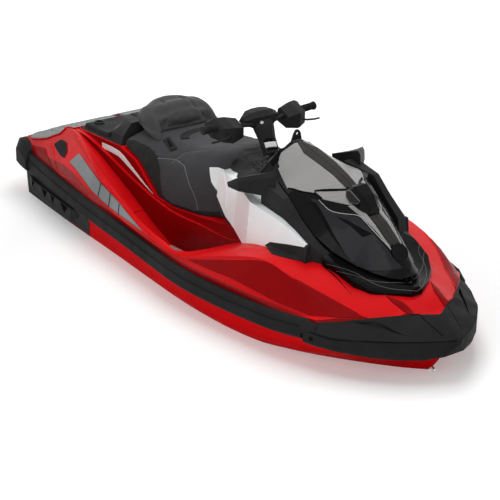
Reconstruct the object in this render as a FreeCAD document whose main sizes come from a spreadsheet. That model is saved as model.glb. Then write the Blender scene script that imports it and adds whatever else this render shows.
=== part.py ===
"""Personal watercraft: a jet-driven runabout for one or two riders.

Everything is drawn in millimetres on the builder's lines of the craft: x runs forward from the
transom, y to port, z up from the keel.  The part's own frame lies amidships on the still waterline.
"""
import FreeCAD, Part
import math
import os
import Sketcher

os.makedirs("parts", exist_ok=True)
document = FreeCAD.newDocument("personal_watercraft")
Vector = FreeCAD.Vector
Rotation = FreeCAD.Rotation

# Driving dimensions, each with what it measures
SIZES = {
    "craft_length": (3165, "bow bumper to transom"),
    "craft_beam": (1255, "over the rub rails"),
    "craft_height": (1148, "keel to the top of the gauge pod"),
    "draught": (262, "keel to the still waterline"),
    "flange_height": (470, "keel to the joint of hull and deck"),
    "rail_height": (100, "rub rail, top to bottom"),
    "rail_thickness": (34, "rub rail, in to out"),
    "rail_groove": (8, "depth and half height of the line in the rail"),
    "seam_gap": (0.3, "between pieces bedded on each other"),
    "panel_thickness": (9, "moulded covers"),
    "mat_thickness": (7, "foam deck mats"),
    "bin_wall": (4, "storage tub"),
    "bin_width": (250, "storage tub, inside"),
    "bin_depth": (215, "storage tub, inside"),
    "hinge_pin_diameter": (8, "storage cover hinge"),
    "pump_axis_height": (150, "keel to the jet axis"),
    "tunnel_width": (250, "jet pump recess in the hull"),
    "tunnel_height": (395, "jet pump recess, keel to roof"),
    "impeller_diameter": (160, "over the blade tips"),
    "impeller_clearance": (0.5, "blade tip to liner"),
    "impeller_length": (105, "hub"),
    "impeller_hub_diameter": (64, "hub"),
    "blade_thickness": (5, "impeller blade"),
    "blade_count": (4, "impeller"),
    "vane_count": (8, "stator"),
    "pump_wall": (17, "pump housing wall"),
    "pump_length": (270, "parallel part of the housing"),
    "cone_length": (90, "outlet cone"),
    "outlet_length": (70, "outlet pipe behind the cone"),
    "outlet_diameter": (92, "outside of the outlet pipe"),
    "outlet_wall": (6, "outlet pipe wall"),
    "shaft_diameter": (28, "drive shaft"),
    "shaft_clearance": (6, "round the drive shaft"),
    "nozzle_bell_diameter": (128, "steering nozzle at its pivots, outside"),
    "nozzle_tail_diameter": (94, "steering nozzle outlet, outside"),
    "nozzle_wall": (4, "steering nozzle wall"),
    "nozzle_length": (120, "steering nozzle"),
    "ring_gap": (14, "nozzle bell to trim ring"),
    "ring_wall": (9, "trim ring, in to out"),
    "ring_width": (24, "trim ring, along the jet"),
    "pivot_diameter": (12, "nozzle and trim ring pins"),
    "pivot_clearance": (0.1, "round each pivot pin"),
    "arm_thickness": (12, "side arms of the pump"),
    "gate_radius": (165, "reverse gate, inside"),
    "gate_wall": (7, "reverse gate shell"),
    "gate_pin_diameter": (14, "reverse gate pivots"),
    "ride_plate_thickness": (10, "plate under the pump"),
    "ride_plate_width": (216, "plate under the pump"),
    "grate_bar": (10, "intake grate bar"),
    "engine_length": (720, "engine block"),
    "engine_width": (360, "engine block"),
    "engine_height": (340, "engine block"),
    "bar_diameter": (22, "handlebar tube"),
    "grip_diameter": (34, "handlebar grip"),
    "grip_length": (125, "handlebar grip"),
    "column_tilt": (30, "steering axis, degrees back from upright"),
    "eye_rod_diameter": (11, "towing and mooring eyes"),
    "eye_bore": (26, "towing and mooring eyes, inside"),
    "anchor_bore": (34, "deck anchor sockets, inside"),
    "anchor_rim": (11, "deck anchor sockets, rim width"),
    "anchor_height": (12, "deck anchor sockets"),
    "plug_thickness": (5, "soft pads on the stern quarters"),
    "glass_thickness": (3, "mirror glass"),
}
sheet = document.addObject("Spreadsheet::Sheet", "Sizes")
for row, (alias, (value, meaning)) in enumerate(SIZES.items(), start=1):
    sheet.set(f"A{row}", meaning)
    sheet.set(f"B{row}", str(value))
    sheet.setAlias(f"B{row}", alias)
document.recompute()


def size(alias):
    """A driving dimension, read from the sheet."""
    return float(sheet.get(alias))


# The lines were drawn at this length, beam and height; the craft's own sizes stretch them
DRAWN_LENGTH = 3165.0
DRAWN_BEAM = 1255.0
DRAWN_HEIGHT = 1148.0
ALONG = size("craft_length") / DRAWN_LENGTH
ACROSS = size("craft_beam") / DRAWN_BEAM
UP = size("craft_height") / DRAWN_HEIGHT
MIDSHIP = size("craft_length") / 2
DRAUGHT = size("draught")
AXIS_HEIGHT = size("pump_axis_height")
FLANGE = size("flange_height")
SEAM = size("seam_gap")
TO_FRAME = Vector(-MIDSHIP, 0, -DRAUGHT)
STARBOARD, PORT = -1, 1
SIDES = (("starboard", STARBOARD), ("port", PORT))
sub_parts = []


def spot(x, y, z):
    """A point of the drawn lines on the real craft, from transom and keel."""
    return Vector(x * ALONG, y * ACROSS, z * UP)


def finish(item, label, placement=None):
    """Label a sub-part and place it in the part's frame."""
    item.Label = label
    item.Placement = placement or FreeCAD.Placement(TO_FRAME, Rotation())
    sub_parts.append(item)
    return item


def feature(label, shape):
    """Keep a free-form solid, drawn from transom and keel, as a sub-part."""
    item = document.addObject("Part::Feature", label)
    item.Shape = shape
    return finish(item, label)


def place(point, rotation=None):
    """Placement of a body whose origin lies at a point measured from transom and keel."""
    return FreeCAD.Placement(point + TO_FRAME, rotation or Rotation())


# Curves and lofts
def fair(table, x):
    """Smooth value at station x through the (station, value) pairs of a table."""
    if x <= table[0][0]:
        return table[0][1]
    if x >= table[-1][0]:
        return table[-1][1]
    last = len(table) - 1
    k = next(i for i in range(last) if table[i][0] <= x <= table[i + 1][0])
    (x0, v0), (x1, v1) = table[k], table[k + 1]

    def slope(i):
        low, high = table[max(i - 1, 0)], table[min(i + 1, last)]
        return (high[1] - low[1]) / (high[0] - low[0])

    span = x1 - x0
    t = (x - x0) / span
    return ((2 * t**3 - 3 * t**2 + 1) * v0 + (t**3 - 2 * t**2 + t) * span * slope(k)
            + (3 * t**2 - 2 * t**3) * v1 + (t**3 - t**2) * span * slope(k + 1))


def wire(points):
    """Closed polygon through points."""
    return Part.makePolygon(list(points) + [points[0]])


def both_sides(half):
    """Close a half section, given from keel to crown at y = 0, with its mirror image."""
    mirrored = [(-y, z) for y, z in reversed(half) if y > 0]
    return half + mirrored


def loft(sections, ruled=False):
    """Solid through closed sections, each a station x and its (y, z) corners."""
    wires = [wire([spot(x, y, z) for y, z in corners]) for x, corners in sections]
    return Part.makeLoft(wires, True, ruled)


def mirror(shape):
    """The same solid on the other side of the centreline."""
    return shape.mirror(Vector(0, 0, 0), Vector(0, 1, 0))


def box(x0, x1, y0, y1, z0, z1):
    """Box between drawn stations."""
    low, high = spot(x0, y0, z0), spot(x1, y1, z1)
    return Part.makeBox(high.x - low.x, high.y - low.y, high.z - low.z, low)


def prism(points, z0, z1):
    """Upright prism over (x, y) corners."""
    face = Part.Face(wire([spot(x, y, z0) for x, y in points]))
    return face.extrude(Vector(0, 0, (z1 - z0) * UP))


def pair(shape):
    """A solid and its mirror image as one piece of two solids."""
    return Part.makeCompound([shape, mirror(shape)])


# Sketched bodies
def plane_of(body, role):
    """Origin plane of a body."""
    return next(item for item in body.Origin.OriginFeatures if item.Role == role)


def new_body(name):
    """An empty sketched body."""
    return document.addObject("PartDesign::Body", name)


def value_of(term):
    """Number behind a coordinate given as a number or as an expression of the sheet."""
    return float(sheet.evalExpression(term)) if isinstance(term, str) else float(term)


def outline(body, role, points, offset=0):
    """Sketch of a closed polygon whose corners are numbers or expressions of the sheet."""
    sketch = body.newObject("Sketcher::SketchObject", body.Name + "_outline")
    sketch.AttachmentSupport = [(plane_of(body, role), "")]
    sketch.MapMode = "FlatFace"
    if isinstance(offset, str):
        sketch.setExpression("AttachmentOffset.Base.z", offset)
    else:
        sketch.AttachmentOffset = FreeCAD.Placement(Vector(0, 0, offset), Rotation())
    corners = [Vector(value_of(u), value_of(v), 0) for u, v in points]
    count = len(points)
    for i in range(count):
        sketch.addGeometry(Part.LineSegment(corners[i], corners[(i + 1) % count]), False)
    for i in range(count):
        sketch.addConstraint(Sketcher.Constraint("Coincident", i, 2, (i + 1) % count, 1))
    for i, (u, v) in enumerate(points):
        for kind, term, value in (("DistanceX", u, corners[i].x), ("DistanceY", v, corners[i].y)):
            index = sketch.addConstraint(Sketcher.Constraint(kind, i, 1, value))
            if isinstance(term, str):
                sketch.setExpression(f"Constraints[{index}]", term)
    return sketch


def circle(body, role, u, v, diameter, offset=0):
    """Sketch of one circle, its place and diameter numbers or expressions of the sheet."""
    sketch = body.newObject("Sketcher::SketchObject", body.Name + "_circle")
    sketch.AttachmentSupport = [(plane_of(body, role), "")]
    sketch.MapMode = "FlatFace"
    if isinstance(offset, str):
        sketch.setExpression("AttachmentOffset.Base.z", offset)
    else:
        sketch.AttachmentOffset = FreeCAD.Placement(Vector(0, 0, offset), Rotation())
    centre = Vector(value_of(u), value_of(v), 0)
    sketch.addGeometry(Part.Circle(centre, Vector(0, 0, 1), value_of(diameter) / 2), False)
    for kind, term, value in (("DistanceX", u, centre.x), ("DistanceY", v, centre.y)):
        index = sketch.addConstraint(Sketcher.Constraint(kind, 0, 3, value))
        if isinstance(term, str):
            sketch.setExpression(f"Constraints[{index}]", term)
    index = sketch.addConstraint(Sketcher.Constraint("Diameter", 0, value_of(diameter)))
    if isinstance(diameter, str):
        sketch.setExpression(f"Constraints[{index}]", diameter)
    return sketch


def set_term(item, name, term):
    """Give a property a number or bind it to an expression of the sheet."""
    if isinstance(term, str):
        item.setExpression(name, term)
    else:
        setattr(item, name, term)


def pad(body, sketch, length, middle=False, reverse=False):
    """Pad a sketch."""
    item = body.newObject("PartDesign::Pad", body.Name + "_pad")
    item.Profile = sketch
    set_term(item, "Length", length)
    item.SideType = "Symmetric" if middle else "One side"
    item.Reversed = reverse
    document.recompute()
    return item


def pocket(body, sketch, length, middle=False, reverse=False):
    """Pocket a sketch."""
    item = body.newObject("PartDesign::Pocket", body.Name + "_pocket")
    item.Profile = sketch
    set_term(item, "Length", length)
    item.SideType = "Symmetric" if middle else "One side"
    item.Reversed = reverse
    document.recompute()
    return item


def revolve(body, sketch, axis="X_Axis"):
    """Turn a sketch a full circle about an origin axis of its body."""
    item = body.newObject("PartDesign::Revolution", body.Name + "_turned")
    item.Profile = sketch
    item.ReferenceAxis = (plane_of(body, axis), [""])
    item.Angle = 360
    document.recompute()
    return item


# Lines of the craft: stations forward of the transom
RAIL_HALF = ((0, 478), (155, 500), (500, 540), (860, 571), (1250, 590), (1500, 607), (1815, 627.5),
             (2066, 612), (2349, 575), (2500, 547), (2640, 502), (2739, 462), (2900, 385))
RAIL_MIDDLE = ((0, 492), (400, 482), (800, 468), (1200, 456), (1600, 449), (2000, 448),
               (2400, 455), (2800, 475), (3000, 480))
KEEL = ((0, 0), (2200, 0), (2400, 13), (2578, 56), (2749, 111), (2858, 160), (2941, 218),
        (3010, 295), (3060, 390))
CHINE_HALF = ((0, 430), (500, 455), (1000, 480), (1500, 510), (1850, 520), (2200, 495),
              (2500, 430), (2750, 325), (2950, 175), (3060, 40))
CHINE_HEIGHT = ((0, 215), (1000, 235), (1500, 240), (1850, 245), (2200, 250), (2500, 285),
                (2750, 335), (2950, 380), (3060, 420))
PAD_HALF = ((0, 112), (1000, 112), (1500, 40), (2400, 14), (3060, 6))
RIDGE_HALF = ((0, 440), (380, 352), (930, 490), (1150, 514), (1440, 570), (1800, 582), (2050, 512),
              (2300, 445), (2540, 420), (2690, 385), (2790, 330), (2870, 248), (2960, 140), (3060, 70))
RIDGE_HEIGHT = ((0, 579), (380, 735), (930, 628), (1440, 545), (1800, 542), (2050, 620),
                (2300, 672), (2540, 630), (2690, 575), (2790, 545), (2870, 545), (2960, 558), (3060, 552))
BAND_HALF = ((0, 452), (600, 505), (939, 536), (1193, 560), (1440, 580), (1800, 594),
             (2200, 568), (2538, 496), (2738, 412), (2871, 305), (2960, 195), (3060, 90))
BAND_HEIGHT = ((0, 550), (600, 600), (939, 545), (1193, 534), (1440, 527), (1800, 522),
               (2200, 535), (2538, 528), (2738, 524), (2871, 530), (2960, 545), (3060, 545))
INNER_HALF = ((0, 410), (380, 325), (930, 462), (1150, 486), (1440, 540), (1800, 545), (2050, 430),
              (2300, 330), (2450, 250), (2600, 200), (2870, 118), (2960, 98), (3060, 40))
INNER_HEIGHT = ((0, 577), (380, 725), (930, 618), (1200, 566), (1440, 538), (1800, 540), (2050, 640),
                (2300, 688), (2450, 690), (2600, 660), (2870, 592), (2960, 566), (3060, 556))
CROWN_HEIGHT = ((0, 577), (380, 725), (930, 606), (1149, 548), (1440, 530), (1800, 560), (2050, 660),
                (2300, 700), (2450, 700), (2600, 664), (2870, 590), (2960, 562), (3060, 552))
# Hull, deck and rail share their stations along the joint, so that their sides run together
JOINT_STATIONS = (150, 220, 300, 450, 650, 860, 1050, 1250, 1440, 1630, 1815, 1950, 2100, 2230, 2349, 2425,
                  2500, 2570, 2640)
HULL_STATIONS = (40,) + JOINT_STATIONS + (2750, 2850, 2940, 3010, 3060)
DECK_STATIONS = (0,) + JOINT_STATIONS + (2740, 2830, 2920, 3030)
# Line where the bow bumper laps over hull and deck, seen from above
BUMPER_LAP = ((2640, 520), (2665, 472), (2778, 362), (2857, 262), (2937, 168), (2974, 98), (3029, 0))


def flange_half(x):
    """Half breadth of the joint of hull and deck, inside the rub rail."""
    return fair(RAIL_HALF, x) - size("rail_thickness") / ACROSS


def hull_section(x):
    """Half section of the hull: keel pad, chine, side and flange."""
    keel, chine = fair(KEEL, x), fair(CHINE_HALF, x)
    height, top = fair(CHINE_HEIGHT, x), FLANGE / UP
    side = max(flange_half(x), chine + 8) if x < 2900 else chine + 60 * (3120 - x) / 220 + 20
    return [(0, keel), (min(fair(PAD_HALF, x), chine * 0.6), keel), (chine - 18, height - 8),
            (chine, height), (chine + (side - chine) * 0.45, height + 42), (side, top - 66),
            (side, top), (0, top)]


def deck_section(x):
    """Half section of the deck: flange, band over the rail, flank ridge, inner edge and crown."""
    bottom = FLANGE / UP
    side = min(flange_half(x), fair(BAND_HALF, x) + 60)
    rail_top = fair(RAIL_MIDDLE, x) + size("rail_height") / UP / 2
    return [(0, bottom), (side, bottom), (side, rail_top + 1),
            (fair(BAND_HALF, x), max(fair(BAND_HEIGHT, x), rail_top + 4)),
            (fair(RIDGE_HALF, x), fair(RIDGE_HEIGHT, x)),
            (fair(INNER_HALF, x), fair(INNER_HEIGHT, x)), (0, fair(CROWN_HEIGHT, x))]


# Footwells: station, inner and outer wall, floor
FOOTWELL = ((400, 325, 332, 735), (650, 320, 392, 650), (930, 315, 456, 530), (1150, 312, 480, 425),
            (1300, 305, 506, 358), (1500, 275, 530, 345), (1700, 262, 545, 345),
            (1765, 262, 500, 345), (1885, 262, 292, 345))
FOOTWELL_TOP = 900
# Pedestal under the seat: station, half width, top
PEDESTAL = ((385, 300, 728), (811, 300, 750), (958, 300, 716), (1149, 298, 574), (1299, 292, 562),
            (1500, 262, 570), (1700, 255, 600), (1950, 255, 600))
FOOTWELL_FLARE = 52
TUB_WALL = 13
# The deck's tubs reach below the flange between these stations
TUB_STATIONS = (1075, 1898)


def footwell_form(grown=0):
    """Room for one foot, ramped up towards the stern, or the tub round it where it is grown."""
    sections = []
    for x, inner, outer, floor in FOOTWELL:
        low, wide, narrow = floor - grown, outer + grown, inner - grown
        flare = min(FOOTWELL_FLARE, (outer - inner) * 0.3)
        sections.append((x, [(narrow, low), (wide - flare, low), (wide, FLANGE / UP + 10),
                             (wide + 4, FOOTWELL_TOP), (narrow, FOOTWELL_TOP)]))
    return loft(sections, ruled=True)


def tub(grown):
    """Both tubs below the flange."""
    form = footwell_form(grown).fuse(box(1885, 1885 + grown, 262 - grown, 292 + grown, 345 - grown, 800))
    below = box(TUB_STATIONS[0] - grown, TUB_STATIONS[1], 200, 620, 200, FLANGE / UP)
    return pair(form.common(below))


def make_hull_and_deck():
    """Hull below the flange and deck above it, with footwell tubs, pump recess and bays."""
    hull_form = loft([(x, both_sides(hull_section(x))) for x in HULL_STATIONS])
    deck_form = loft([(x, both_sides(deck_section(x))) for x in DECK_STATIONS])
    pedestal = loft([(x, both_sides([(0, FLANGE / UP), (half, FLANGE / UP), (half, top), (0, top)]))
                     for x, half, top in PEDESTAL], ruled=True)
    wells = pair(footwell_form())
    tubs, tub_space = tub(TUB_WALL), tub(TUB_WALL + 1)
    start = BUMPER_LAP[0][0]
    lap = prism([(-100, -900), (start, -900)] + [(x, -y) for x, y in BUMPER_LAP]
                + list(BUMPER_LAP[-2::-1]) + [(start, 900), (-100, 900)], 0, 1500)
    deck = deck_form.fuse(pedestal).common(lap)
    deck = deck.fuse(tubs).cut(wells)
    bay = box(*BIN_STATIONS, -BIN_BAY_HALF, BIN_BAY_HALF, BIN_FLOOR, 900)
    deck = deck.cut(bay)
    half_tunnel = size("tunnel_width") / 2
    tunnel = Part.makeBox(TUNNEL_FRONT * ALONG + 200, 2 * half_tunnel, size("tunnel_height") + 100,
                          Vector(-200, -half_tunnel, -100))
    engine_bay = Part.makeBox(size("engine_length") + 2 * SEAM, size("engine_width") + 2 * SEAM, 900,
                              Vector(ENGINE_REAR * ALONG - SEAM, -size("engine_width") / 2 - SEAM,
                                     ENGINE_FLOOR * UP))
    shaft_hole = Part.makeCylinder(size("shaft_diameter") / 2 + size("shaft_clearance"),
                                   (ENGINE_REAR - TUNNEL_FRONT) * ALONG + 2,
                                   Vector(TUNNEL_FRONT * ALONG - 1, 0, AXIS_HEIGHT), Vector(1, 0, 0))
    plate_recess = Part.makeBox(RIDE_PLATE_LAP * ALONG, size("ride_plate_width") + 2 * SEAM,
                                size("ride_plate_thickness") + 50,
                                Vector(TUNNEL_FRONT * ALONG - 1, -size("ride_plate_width") / 2 - SEAM, -50))
    hull = hull_form
    for space in (tub_space, tunnel, intake_duct(), shaft_hole, plate_recess,
                  engine_bay.common(hull_form), bay):
        hull = hull.cut(space)
    feature("hull", hull)
    feature("deck", deck)
    return hull_form, deck_form, lap


# Jet pump recess, intake and engine
TUNNEL_FRONT = 600
RIDE_PLATE_LAP = 60
ENGINE_REAR = 1130
ENGINE_FLOOR = 62
INTAKE_MOUTH = (740, 1010)
INTAKE_HALF = 84


def intake_duct():
    """Duct from a rectangular mouth in the flat of the keel up to the impeller."""
    throat_radius = (size("impeller_diameter") / 2 + size("impeller_clearance")) / math.cos(math.pi / 8)
    throat = []
    for i in range(8):
        turn = math.radians(22.5 + 45 * i)
        throat.append(Vector(TUNNEL_FRONT * ALONG - 1, throat_radius * math.cos(turn),
                             AXIS_HEIGHT + throat_radius * math.sin(turn)))
    rear, front = INTAKE_MOUTH
    waist = (front - rear) / 7
    middle = (rear + front) / 2
    lip = size("grate_bar") + 2
    plan = [(middle + waist, 1), (front, 1), (front, -1), (middle + waist, -1),
            (middle - waist, -1), (rear, -1), (rear, 1), (middle - waist, 1)]
    mouth = [Vector(x * ALONG, side * INTAKE_HALF, lip) for x, side in plan]
    seat = Part.makeBox((front - rear) * ALONG, 2 * INTAKE_HALF, lip + 20,
                        Vector(rear * ALONG, -INTAKE_HALF, -20))
    return Part.makeLoft([wire(throat), wire(mouth)], True, True).fuse(seat)


def make_engine():
    """Heavy block of the engine in its bay."""
    body = new_body("engine")
    half = "Sizes.engine_width / 2"
    sketch = outline(body, "XY_Plane", [(0, "-" + half), ("Sizes.engine_length", "-" + half),
                                        ("Sizes.engine_length", half), (0, half)])
    pad(body, sketch, "Sizes.engine_height")
    finish(body, "engine", place(Vector(ENGINE_REAR * ALONG, 0, ENGINE_FLOOR * UP)))


# Rails, bumper and stern caps
RAIL_BEDDING = 0.85


def rail_section(x):
    """Section of the rub rail with its groove, inner face first."""
    outer = fair(RAIL_HALF, x)
    inner = flange_half(x) + RAIL_BEDDING / ACROSS
    half = size("rail_height") / UP / 2
    middle, groove = fair(RAIL_MIDDLE, x), size("rail_groove") / UP
    line = middle + half * 0.32
    return [(inner, middle - half), (outer - 12, middle - half), (outer, middle - half + 14),
            (outer, line - groove), (outer - groove, line), (outer - 2, line + groove),
            (outer - 5, middle + half - 10), (outer - 14, middle + half), (inner, middle + half)]


def make_rails():
    """Rub rail on each side, bedded on hull and deck."""
    feature("rub_rails", pair(loft([(x, rail_section(x)) for x in JOINT_STATIONS])))


# Bow bumper: station, half breadth at its belt, bottom, belt, top edge half breadth and height
BUMPER = ((2600, 512, 400, 470, 500, 500), (2700, 480, 398, 468, 440, 508), (2790, 438, 396, 466, 345, 530),
          (2860, 390, 394, 470, 258, 548), (2936, 336, 393, 477, 168, 566), (2976, 298, 393, 480, 96, 568),
          (3032, 240, 394, 486, 30, 562), (3092, 158, 395, 489, 16, 532), (3138, 72, 408, 488, 10, 506),
          (3165, 16, 462, 486, 5, 490))


# Triangular recess in each slope of the bumper
BUMPER_RECESS = ((2812, 331, 514), (2876, 262, 544), (3030, 192, 496))
RECESS_DEPTH = 9


def make_bumper(hull_form, lap):
    """Bow cap: a raked block that laps over hull and deck."""
    sections = []
    for x, half, bottom, belt, top_half, top in BUMPER:
        low = min(14, half / 2)
        sections.append((x, both_sides([(0, bottom), (half - low, bottom), (half, bottom + low), (half, belt - 5),
                                        (half - 5, belt), (half - 3, belt + 4), (top_half, top), (0, top + 2)])))
    cap = loft(sections, ruled=True).cut(lap).cut(hull_form)
    for side in (1, -1):
        floor = [spot(x, side * y, z - RECESS_DEPTH) for x, y, z in BUMPER_RECESS]
        cap = cap.cut(Part.Face(wire(floor)).extrude(Vector(0, 0, 80)))
    feature("bow_bumper", largest(cap))


# Stern corner caps: station, inner and outer half breadth, bottom, top
STERN_CAP = ((-2, 440, 492, 440, 586), (60, 452, 506, 440, 592), (149, 478, 517, 440, 560))


def make_stern_caps(hull_form, deck_form):
    """Black corner guards at the transom, lapping over the rail's end."""
    sections = [(x, [(inner, bottom), (outer - 8, bottom), (outer, bottom + 12), (outer, top - 60),
                     (outer - 26, top), (inner - 20, top)]) for x, inner, outer, bottom, top in STERN_CAP]
    cap = loft(sections).cut(hull_form).cut(deck_form)
    cap = max(cap.Solids, key=lambda solid: solid.Volume)
    feature("stern_caps", pair(cap))


def pedestal_top(x):
    """Height of the pedestal at a station."""
    k = next(i for i in range(len(PEDESTAL) - 1) if x <= PEDESTAL[i + 1][0])
    (x0, _, z0), (x1, _, z1) = PEDESTAL[k], PEDESTAL[k + 1]
    return z0 + (z1 - z0) * (x - x0) / (x1 - x0)


# Seat: station, half width of the lower edge, shoulder half width and height, crown half width and height
SEAT = ((820, 285, 262, 800, 150, 846), (958, 296, 268, 800, 165, 852), (1149, 294, 262, 760, 165, 858),
        (1299, 288, 250, 770, 165, 872), (1500, 248, 216, 815, 155, 908), (1560, 230, 205, 830, 150, 918),
        (1640, 205, 185, 850, 140, 920))
SHELL = ((640, 250, 150, 815), (700, 286, 190, 850), (811, 292, 225, 868))
# Bolster, from the middle of the seat out: station across, rear, front, bottom, top
BOLSTER = ((0, 745, 905, 866, 974), (70, 754, 925, 864, 970), (138, 775, 950, 860, 955), (190, 800, 900, 850, 915))


def make_seat():
    """Cushion, the shell behind it and the bolster that holds the rider."""
    bed = SEAM / UP
    sections = []
    for x, low_half, mid_half, mid, top_half, top in SEAT:
        low = pedestal_top(x) + bed
        sections.append((x, both_sides([(0, low), (low_half, low), (low_half, low + 42), (mid_half, mid),
                                        (top_half + 30, top - 22), (top_half, top - 6), (0, top)])))
    feature("seat_cushion", loft(sections, ruled=True))
    sections = []
    for x, half, top_half, top in SHELL:
        low = pedestal_top(x) + bed
        sections.append((x, both_sides([(0, low), (half, low), (half - 12, low + 50), (top_half, top),
                                        (0, top + 4)])))
    shell = loft(sections, ruled=True)
    feature("seat_shell", shell)
    wires = []
    for y, rear, front, bottom, top in BOLSTER:
        corners = [(rear + 25, bottom), (front - 35, bottom), (front, bottom + 30), (front - 30, top - 12),
                   (front - 75, top), (rear + 30, top - 4), (rear, top - 40), (rear, bottom + 25)]
        wires.append(wire([spot(x, y, z) for x, z in corners]))
    half = Part.makeLoft(wires, True, True)
    feature("seat_bolster", largest(half.fuse(mirror(half)).removeSplitter().cut(shell)))


# Console: station, half width of its foot, shoulder half width and height, top half width and height
CONSOLE_REAR = ((1641.5, 196, 200, 850, 120, 905), (1700, 230, 230, 862, 120, 905),
                (1790, 245, 240, 878, 112, 912), (1850, 255, 245, 890, 105, 950), (1938, 262, 225, 930, 90, 1044))
CONSOLE_FRONT = ((1938, 262, 225, 900, 95, 985), (2058, 262, 212, 890, 150, 938), (2110, 262, 200, 860, 150, 890))
CONSOLE_FOOT = 580
# Side panels: station, inner and outer face, bottom and top
FAIRING = ((1652, 180, 262, 735, 868), (1750, 200, 282, 668, 880), (1850, 220, 300, 640, 872),
           (2020, 220, 352, 600, 850), (2232, 220, 352, 600, 826), (2330, 230, 344, 600, 800),
           (2440, 262, 330, 600, 758))
SHROUD = ((2060, 216, 296, 600, 955), (2232, 262, 296, 600, 925), (2330, 258, 296, 600, 845),
          (2440, 250, 296, 600, 770), (2495, 215, 262, 600, 722))
# Ring under the storage cover: station, inner and outer half breadth, top
BASE_RING = ((2112, 190, 244, 905), (2204, 215, 250, 921), (2300, 214, 246, 845), (2400, 200, 240, 779),
             (2500, 160, 205, 721))
# Nose ahead of it: station, chin half width and height, top half breadth and height
FASCIA = ((2496, 270, 702, 200, 720), (2581, 252, 690, 172, 690), (2685, 236, 655, 134, 668),
          (2760, 190, 622, 96, 655), (2810, 130, 610, 60, 645), (2868, 34, 606, 12, 640))


def strip(table, lean=0):
    """Upright side panel: station, inner and outer face, bottom and top."""
    sections = [(x, [(inner, bottom), (outer, bottom), (outer - lean, top), (inner - lean, top)])
                for x, inner, outer, bottom, top in table]
    return loft(sections, ruled=True)


def make_console(deck):
    """Body between seat and storage cover, which carries the steering."""
    form = None
    for table in (CONSOLE_REAR, CONSOLE_FRONT):
        sections = [(x, both_sides([(0, CONSOLE_FOOT), (half, CONSOLE_FOOT), (mid_half, mid), (top_half, top),
                                    (0, top + 6)])) for x, half, mid_half, mid, top_half, top in table]
        part = loft(sections, ruled=True)
        form = part if form is None else form.fuse(part)
    form = largest(form.cut(deck).cut(column_socket()))
    feature("console", form)
    return form


def make_fascia(deck):
    """Black ring under the cover, closed by the nose, with the hinge pin."""
    sections = [(x, both_sides([(0, low - 40), (half - 8, low - 40), (half, low + 6), (half - 6, low + 18),
                                (top_half, top), (0, top)])) for x, half, low, top_half, top in FASCIA]
    nose = loft(sections, ruled=True)
    rail = strip([(x, inner, outer, 620, top) for x, inner, outer, top in BASE_RING])
    form = nose.fuse(rail).fuse(mirror(rail)).cut(deck)
    x, z = HINGE_AT
    post = Part.makeBox(14, 2 * HINGE_POST_HALF, 30, spot(x, 0, z) + Vector(-7, -HINGE_POST_HALF, -28))
    recess = Part.makeBox(36, 2 * HINGE_ROOM_HALF, 40, spot(x, 0, z) + Vector(-18, -HINGE_ROOM_HALF, -16))
    pin = Part.makeCylinder(size("hinge_pin_diameter") / 2, 2 * (HINGE_LUG_END + 2),
                            spot(x, 0, z) + Vector(0, -HINGE_LUG_END - 2, 0), Vector(0, 1, 0))
    form = largest(form.cut(recess).fuse(post).fuse(pin))
    feature("nose_fascia", form)
    return form


def make_side_panels(deck, console, fascia):
    """White fairings beside the console and the black shrouds ahead of them."""
    shroud = largest(strip(SHROUD).cut(deck).cut(console).cut(fascia))
    fairing = largest(strip(FAIRING, lean=18).cut(deck).cut(console).cut(fascia).cut(shroud))
    for name, side in SIDES:
        feature(f"fairing_{name}", fairing if side == PORT else mirror(fairing))
        feature(f"shroud_{name}", shroud if side == PORT else mirror(shroud))
    return shroud


HINGE_POST_HALF = 12
HINGE_LUG_START = 13
HINGE_LUG_END = 23
HINGE_ROOM_HALF = 34


# Storage cover: station, crest and its half breadth, shoulder half breadth and height, lower edge likewise
HOOD = ((1945, 1074, 30, 95, 1036, 104, 1008), (2058, 1056, 46, 160, 970, 200, 945),
        (2204, 1026, 44, 205, 946, 250, 930), (2300, 1000, 36, 170, 926, 246, 852),
        (2400, 960, 30, 138, 886, 240, 786), (2500, 906, 34, 98, 880, 205, 728),
        (2600, 858, 34, 64, 846, 168, 696), (2700, 792, 30, 58, 774, 128, 676),
        (2780, 718, 24, 44, 704, 84, 668), (2815, 686, 14, 30, 678, 50, 668))
BIN_STATIONS = (2130, 2470)
BIN_BAY_HALF = 131
BIN_FLOOR = 540
HINGE_AT = (2806, 652)


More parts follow.
